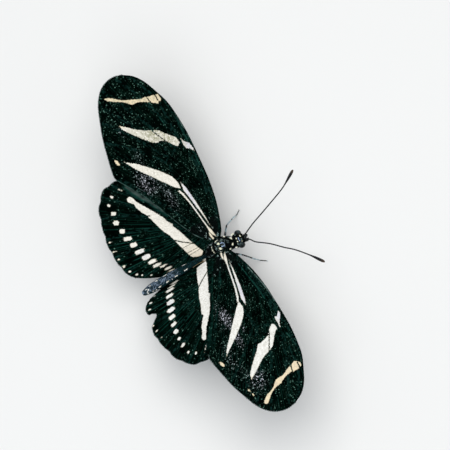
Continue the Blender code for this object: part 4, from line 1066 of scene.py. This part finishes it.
for word, side in (("left", 1), ("right", -1)):
    out = 0.1 + 4.4 * rng.random(2100) ** 1.5
    low = -1.2 - 0.75 * out
    flat = np.stack([out, low + (1.1 + 0.5 * out - low) * rng.random(2100)], 1)
    flat = flat[forewing_marks(flat, side)[0] < -0.12]
    level, turned, long = rng.random((3, len(flat)))
    lie = np.stack([np.ones(len(flat)), turned - 0.75], 1)
    # Painted highlights: a few locks of root hair are bright as glints.
    shade = np.where(in_glint_locks(flat, 14, 0.12, rng), 0.45 + 0.55 * level, 0.02 * level)
    hair = wing_blades("root_hair_" + word, FOREWING, side, flat, fore_lift(flat) + 0.1, lie,
                       0.30 + 0.40 * long, np.where(shade > 0.3, 0.042, 0.026), 0.12 + 0.15 * turned, shade)
    dress(hair, coat_finish, "body_hair")
    hind_edge = np.array(HIND_OUTER)
    if side < 0:
        hind_edge = np.vstack([hind_edge[:9], TORN_NOTCH, hind_edge[11:]])
    for name, hang, edge, lift_of in (
            ("forewing_fringe_", FOREWING, smooth_through(FORE_OUTER, 620), fore_lift),
            ("hindwing_fringe_", HINDWING, scalloped(smooth_through(hind_edge, 620), 7), hind_lift)):
        along = np.gradient(edge, axis=0)
        outward = np.stack([-along[:, 1], along[:, 0]], 1) / np.linalg.norm(along, axis=1, keepdims=True)
        outward *= np.sign((outward * (edge - edge.mean(0) + (10, -3))).sum(1).mean())
        flat = edge - 0.10 * outward
        # Painted reflection: the fringe scales are a little lighter than the black wing, a faint light rim round the
        # margins.
        level = rng.random(620)
        fringe = wing_blades(name + word, hang, side, flat, lift_of(flat),
                             outward + 0.25 * rng.normal(size=edge.shape), 0.22 + 0.12 * level, 0.05, 0.0,
                             0.10 + 0.25 * level ** 2)
        dress(fringe, coat_finish, "wing_scales")


# Eyes. Two big domes of hundreds of tiny facets, nearly black with a little gloss, and a soft bluish
# reflection painted in patches on their upper parts. They are set into the sides of the head.

HEAD_CENTRE = (-0.68, -4.65, 9.0)
HEAD_TURN = math.radians(-7.0)
EYE_RADII = (0.74, 0.80, 1.02)


def head_places(side, ahead, rise):
    """Places from their distance beside, ahead of and above the head's centre, turned with the head."""
    x = HEAD_CENTRE[0] + side * math.cos(HEAD_TURN) + ahead * math.sin(HEAD_TURN)
    y = HEAD_CENTRE[1] + side * math.sin(HEAD_TURN) - ahead * math.cos(HEAD_TURN)
    return np.stack(np.broadcast_arrays(x, y + BODY_SHIFT, HEAD_CENTRE[2] + rise), -1)


def eye_rings(side):
    """Rings of an oval eye from its inner to its outer pole: the cosine of one angle runs along the side
    direction and its sine carries the circle of the other angle."""
    turn = np.linspace(0.12, math.pi - 0.06, 40)[:, None]
    angle = np.arange(56)[None] * 2 * math.pi / 56
    return head_places(side * (1.40 - EYE_RADII[0] * np.cos(turn)),
                       0.17 + EYE_RADII[1] * np.sin(turn) * np.cos(angle),
                       0.10 + EYE_RADII[2] * np.sin(turn) * np.sin(angle))


eye_finish, tree, shader, place = new_finish("eye_finish", 0.25, 0.15)
facets = node(tree, "TexVoronoi", {"Vector": place, "Scale": 22.0}).outputs["Distance"]
# Painted reflection: teal-grey patches on the upper part of each eye.
eye_reflection = node(tree, "TexNoise", {"Vector": place, "Scale": 1.3, "Detail": 2.0}).outputs["Fac"]
height = node(tree, "SeparateXYZ", {0: place}).outputs[2]
eye_reflection = calc(tree, "MULTIPLY", ramp(tree, eye_reflection, 0.38, 0.60), ramp(tree, height, 9.4, 10.0))
colour = blend(tree, eye_reflection, (0.0010, 0.0045, 0.0045, 1), (0.085, 0.135, 0.140, 1))
colour = blend(tree, ramp(tree, facets, 0.3, 0.6), colour, (0.0008, 0.002, 0.002, 1))
finish_with(tree, shader, colour, calc(tree, "SUBTRACT", 1.0, facets), 0.012, 0.5)
for word, side in (("left", 1), ("right", -1)):
    dress(build_mesh("eye_dome_" + word, *closed_skin(eye_rings(side))), eye_finish, "eye", "eye_" + word)


# Mouthparts. Two short hairy palps stand in front of the face, and between them the long tongue, two
# half pipes zipped together, is wound up flat like a watch spring.

PALP_PATH = (
    (0.46, 0.95, -1.10), (0.46, 1.30, -1.22), (0.48, 1.60, -1.12), (0.49, 1.80, -0.80), (0.48, 1.86, -0.34),
)
COIL_CENTRE = (0.85, -2.68)


def tube_rings(path, wide, high, sides, level):
    """Rings round a path: one axis of each ring is square to the path and to the level direction, the
    other is square to both."""
    along = np.gradient(path, axis=0)
    along /= np.linalg.norm(along, axis=1, keepdims=True)
    across = np.cross(along, np.broadcast_to(np.array(level, float), along.shape))
    across /= np.linalg.norm(across, axis=1, keepdims=True)
    other = np.cross(along, across)
    angle = np.arange(sides) * 2 * math.pi / sides
    wide, high = (np.broadcast_to(v, len(path))[:, None, None] for v in (wide, high))
    return (path[:, None] + across[:, None] * wide * np.cos(angle)[None, :, None]
            + other[:, None] * high * np.sin(angle)[None, :, None])


def evenly(place):
    """Hair grows everywhere alike."""
    return np.ones(place.shape[:2])


def rounded_ends(radii, share, length):
    """Radii with both ends rounded: times the root of one less the square of how near the end is."""
    near = np.minimum(share, 1 - share) * length / np.maximum(radii, 1e-6)
    return radii * np.sqrt(np.clip(1 - (1 - np.clip(near, 0, 1)) ** 2, 0.02, 1))


cuticle, tree, shader, place = new_finish("leg_cuticle", 0.36, 0.2)
fuzz = node(tree, "TexNoise", {"Vector": place, "Scale": 7.0, "Detail": 3.0}).outputs["Fac"]
tufted = node(tree, "TexNoise", {"Vector": place, "Scale": 0.9, "Detail": 2.0}).outputs["Fac"]
many = calc(tree, "MULTIPLY_ADD", ramp(tree, tufted, 0.42, 0.56), 0.75, 0.12)
flecks = use_group(tree, scale_specks, {"Place": place, "Size": 7.0, "Amount": many})
colour = blend(tree, fuzz, (0.0015, 0.0025, 0.003, 1), (0.010, 0.011, 0.012, 1))
# Partly white scales and partly painted highlights of glossy hairs: pale blue-white patches and flecks.
pale_scales_and_glint = calc(tree, "MULTIPLY", ramp(tree, tufted, 0.45, 0.55), 0.75)
colour = blend(tree, pale_scales_and_glint, colour, (0.42, 0.57, 0.62, 1))
colour = blend(tree, flecks["Speck"], colour, (0.68, 0.82, 0.88, 1))
finish_with(tree, shader, colour, flecks["Height"], 0.02, 0.7)

for word, side in (("left", 1), ("right", -1)):
    path = smooth_through(PALP_PATH, 60)
    share = np.linspace(0, 1, 60)
    path = head_places(side * path[:, 0], path[:, 1], path[:, 2])
    radii = rounded_ends(0.23 - 0.07 * share + 0.03 * np.sin(2 * math.pi * share), share, 2.0)
    rings = tube_rings(path, radii, 0.8 * radii, 20, (1, 0, 0))
    palp = build_mesh("palp_core_" + word, *closed_skin(rings))
    dress(palp, cuticle, "body_hair", "palp_" + word)
    root, normal, lie, spot = sow(rings, 420, evenly, rng)
    values = np.stack([0.6 * (rng.random(420) < 0.06), 0.4 * rng.random(420) ** 3], 1)
    fluff = blades("palp_hair_" + word, root, normal, lie, spot, 0.18 + 0.2 * rng.random(420), 0.022, 0.02,
                   0.4 + 0.3 * rng.random(420), values)
    dress(fluff, coat_finish, "body_hair")

share = np.linspace(0, 1, 220)
angle = math.pi / 2 - share * 1.25 * 2 * math.pi
reach = 0.92 - 0.62 * share
ahead, rise = COIL_CENTRE[0] + reach * np.cos(angle), COIL_CENTRE[1] + reach * np.sin(angle)
path = head_places(np.zeros(220), ahead, rise)
feed = head_places(np.zeros(16), np.linspace(0.25, 0.80, 16), np.linspace(-1.15, -1.70, 16))
path = smooth_through(np.vstack([feed[:-1:4], path[4::6]]), 260)
share = np.linspace(0, 1, 260)
ribs = 1 + 0.05 * np.sin(share * 2 * math.pi * 60)
radii = rounded_ends((0.17 - 0.05 * share) * ribs, share, 8.0)
tongue = build_mesh("coiled_tongue", *closed_skin(tube_rings(path, radii, 0.85 * radii, 20, (1, 0, 0))))
dress(tongue, cuticle, "leg_cuticle", "proboscis")


# Antennae. Long straight feelers of some forty short joints, black and finely scaled, that thicken
# slowly into a blunt club. Each stands in a socket on top of the face.

ANTENNA_LEFT = (
    (-0.42, -5.55, 0.62), (-0.47, -6.26, 0.74), (0.30, -8.10, 1.1), (0.80, -9.40, 1.4), (1.95, -13.1, 2.3),
    (3.70, -18.3, 3.5), (4.75, -20.5, 4.1), (6.15, -23.0, 4.8),
)
ANTENNA_RIGHT = (
    (-1.20, -5.45, 0.62), (-1.36, -6.14, 0.72), (-2.20, -6.95, 0.85), (-3.30, -7.80, 0.9),
    (-5.30, -10.4, 1.0), (-7.60, -12.8, 0.8), (-9.25, -14.7, 0.6), (-12.0, -17.1, 0.3), (-15.0, -19.3, 0.0),
)
JOINTS = 44

antenna_finish, tree, shader, place = new_finish("antenna_finish", 0.5, 0.1)
along = node(tree, "Attribute", attribute_name="along").outputs["Fac"]
fuzz = node(tree, "TexNoise", {"Vector": place, "Scale": 6.0, "Detail": 3.0}).outputs["Fac"]
colour = blend(tree, fuzz, (0.0015, 0.002, 0.003, 1), (0.009, 0.010, 0.012, 1))
colour = blend(tree, ramp(tree, along, 0.93, 1.0), colour, (0.075, 0.050, 0.032, 1))
joint = calc(tree, "FRACT", calc(tree, "MULTIPLY", along, float(JOINTS)))
colour = blend(tree, ramp(tree, joint, 0.80, 0.97), colour, (0.050, 0.056, 0.062, 1))
finish_with(tree, shader, colour, fuzz, 0.02, 0.6)
for word, way in (("left", ANTENNA_LEFT), ("right", ANTENNA_RIGHT)):
    rows = 900
    path = smooth_through(way, rows) + (0, BODY_SHIFT, 8.7)
    share = np.linspace(0, 1, rows)
    bead = 1 + 0.09 * np.sqrt(np.abs(np.sin(share * math.pi * JOINTS)))
    thick = 0.135 + 0.185 * ease((share - 0.78) / 0.16) + 0.10 * np.exp(-((share - 0.032) / 0.012) ** 2)
    radii = rounded_ends(thick * bead, share, 20.0)
    radii *= 1 - 0.35 * ease((share - 0.96) / 0.04)
    points, quads, fans = closed_skin(tube_rings(path, radii, radii, 14, (0, 0, 1)))
    feeler = build_mesh("feeler_" + word, points, quads, fans)
    add_values(feeler, along=np.concatenate([np.repeat(share, 14), (0.0, 1.0)]))
    dress(feeler, antenna_finish, "antenna_scales", "antenna_" + word)


# Legs. Four thin walking legs of jointed black cuticle end in five short foot joints with claws, and
# the front pair is small and folded up under the neck. Each hinges in a cup under the thorax.

FORELEG = ((0.75, -1.85, 6.60), (0.90, -2.60, 6.15), (0.95, -3.25, 6.15), (0.82, -3.85, 6.75))
MIDLEG_LEFT = ((0.90, -0.70, 7.0), (1.35, -1.10, 5.85), (4.15, -3.50, 7.20), (4.55, -3.85, 6.55),
               (6.65, -5.58, 2.20), (7.40, -6.30, 0.16), (8.05, -7.20, 0.14))
MIDLEG_RIGHT = ((-0.90, -0.70, 7.0), (-1.35, -1.10, 5.85), (-3.50, -3.45, 6.80), (-3.65, -3.80, 6.15),
                (-4.42, -5.30, 2.20), (-4.75, -6.20, 0.16), (-5.60, -7.45, 0.14))
HINDLEG = ((0.80, 1.40, 7.0), (1.15, 1.80, 6.00), (3.60, 5.20, 6.60), (3.90, 5.80, 6.00),
           (5.65, 9.60, 1.90), (6.30, 11.20, 0.16), (6.95, 12.90, 0.14))
# Radius just after and just before each joint, hip to toe.
LEG_RADII = ((0.34, 0.24), (0.20, 0.25, 0.18), (0.17, 0.16), (0.17, 0.16, 0.16), (0.12, 0.10), (0.10, 0.08))


def leg_parts(joints):
    """The closed skins of a walking leg: the limb itself, its radius running from joint to joint with a
    pinch at each and five swellings along the foot, two spurs at the end of the shin and two claws."""
    given = np.array(joints)
    near = 0.10
    bends = np.stack([given[1:-1] + (given[:-2] - given[1:-1]) * near,
                      given[1:-1] + (given[2:] - given[1:-1]) * near], 1).reshape(-1, 3)
    rows = 260
    path = smooth_through(np.vstack([given[:1], bends, given[-1:]]), rows)
    run = np.concatenate([[0], np.cumsum(np.linalg.norm(np.diff(given, axis=0), axis=1))])
    at, size = [], []
    for start, stop, radii in zip(run[:-1], run[1:], LEG_RADII):
        at += list(np.linspace(start + 0.04, stop - 0.04, len(radii)))
        size += list(radii)
    place = np.linspace(0, run[-1], rows)
    foot = np.clip((place - run[4]) / (run[6] - run[4]), 0, 1)
    radii = np.interp(place, at, size) * (1 + 0.14 * np.sin(foot * 5 * math.pi) ** 2 * (foot > 0))
    radii = rounded_ends(radii, place / run[-1], run[-1])
    heading = given[-1] - given[0]
    level = np.cross(heading, (0, 0, 1))
    parts = [closed_skin(tube_rings(path, radii, radii, 14, level))]
    shin, toe = given[4], given[-1]
    ahead = (given[-1] - given[-2]) / np.linalg.norm(given[-1] - given[-2])
    aside = np.cross(ahead, (0, 0, 1))
    t = np.linspace(0, 1, 12)[:, None]
    for side in (-1, 1):
        spur = shin + (given[5] - shin) * 0.22 * t + side * aside * (0.08 + 0.22 * t)
        claw = toe + ahead * 0.30 * t + side * aside * 0.16 * np.sin(t * 2.2) - (0, 0, 0.05) * t ** 2
        for line, thick in ((spur, 0.035), (claw, 0.04)):
            taper = thick * np.sqrt(np.clip(1 - t[:, 0], 0.01, 1))
            parts.append(closed_skin(tube_rings(line, taper, taper, 8, (0.1, 0.2, 1))))
    return parts


def join_skins(name, parts):
    """One mesh of several closed skins, their corner numbers moved on by the points before them."""
    first = np.cumsum([0] + [len(part[0]) for part in parts[:-1]])
    return build_mesh(name, np.concatenate([part[0] for part in parts]),
                      np.concatenate([part[1] + n for part, n in zip(parts, first)]),
                      np.concatenate([part[2] + n for part, n in zip(parts, first)]))


for word, side in (("left", 1), ("right", -1)):
    path = smooth_through(FORELEG, 70) * (side, 1, 1) + (0, BODY_SHIFT, 0)
    share = np.linspace(0, 1, 70)
    radii = rounded_ends(0.23 - 0.10 * share + 0.02 * np.sin(share * 9), share, 2.6)
    foreleg = build_mesh("folded_leg_" + word, *closed_skin(tube_rings(path, radii, radii, 14, (1, 0, 0))))
    dress(foreleg, cuticle, "leg_cuticle", "foreleg_" + word)
    middle = MIDLEG_LEFT if side > 0 else MIDLEG_RIGHT
    for name, joints, mirror in (("midleg_", middle, 1), ("hindleg_", HINDLEG, side)):
        joints = np.array(joints) * (mirror, 1, 1) + (0, BODY_SHIFT, 0)
        leg = join_skins("walking_" + name + word, leg_parts(joints))
        dress(leg, cuticle, "leg_cuticle", name + word)


# Floor, light and camera: a plain pale floor, soft light from above and a camera at the photo's angle.

stage_floor = build_mesh("floor", np.array([(-900, -900, 0), (900, -900, 0), (900, 900, 0), (-900, 900, 0)]),
                         np.array([(0, 1, 2, 3)]))
floor_finish, tree, shader, place = new_finish("floor_finish", 0.8, 0.2)
shader.inputs["Base Color"].default_value = (0.80, 0.80, 0.79, 1)
stage_floor.data.materials.append(floor_finish)

world = bpy.data.worlds.new("soft_sky")
scene.world = world
world.use_nodes = True
world.node_tree.nodes["Background"].inputs[0].default_value = (0.90, 0.94, 1.0, 1)
world.node_tree.nodes["Background"].inputs[1].default_value = 0.48


def soft_lamp(name, place, aim, width, power, colour):
    """A square area light at a place in metres, turned to face its aim."""
    light = bpy.data.lights.new(name, "AREA")
    light.size = width
    light.energy = power
    light.color = colour
    lamp = bpy.data.objects.new(name, light)
    scene.collection.objects.link(lamp)
    lamp.location = place
    direction = Vector(aim) - Vector(place)
    lamp.rotation_euler = direction.to_track_quat("-Z", "Y").to_euler()


soft_lamp("key", (0.07, -0.07, 0.47), (0, 0, 0.01), 0.50, 1.6, (1.0, 0.985, 0.95))
soft_lamp("fill", (-0.20, 0.14, 0.42), (0, 0, 0.01), 0.40, 0.75, (0.96, 0.98, 1.0))

right = Vector((-0.44905385, -0.87368656, -0.18714283))
up = Vector((0.84348589, -0.48360779, 0.23378421))
back = Vector((-0.29475785, -0.05287064, 0.95410822))
lens = bpy.data.cameras.new("photo_view")
lens.sensor_width = 36.0
lens.lens = 425.28
lens.clip_start, lens.clip_end = 0.1, 10.0
camera = bpy.data.objects.new("photo_view", lens)
scene.collection.objects.link(camera)
spot = Vector((0, BODY_SHIFT * MM, 0.009)) + back * 1.2 + right * 0.001187 + up * 0.004921
camera.matrix_world = Matrix.Translation(spot) @ Matrix((right, up, back)).transposed().to_4x4()
scene.camera = camera
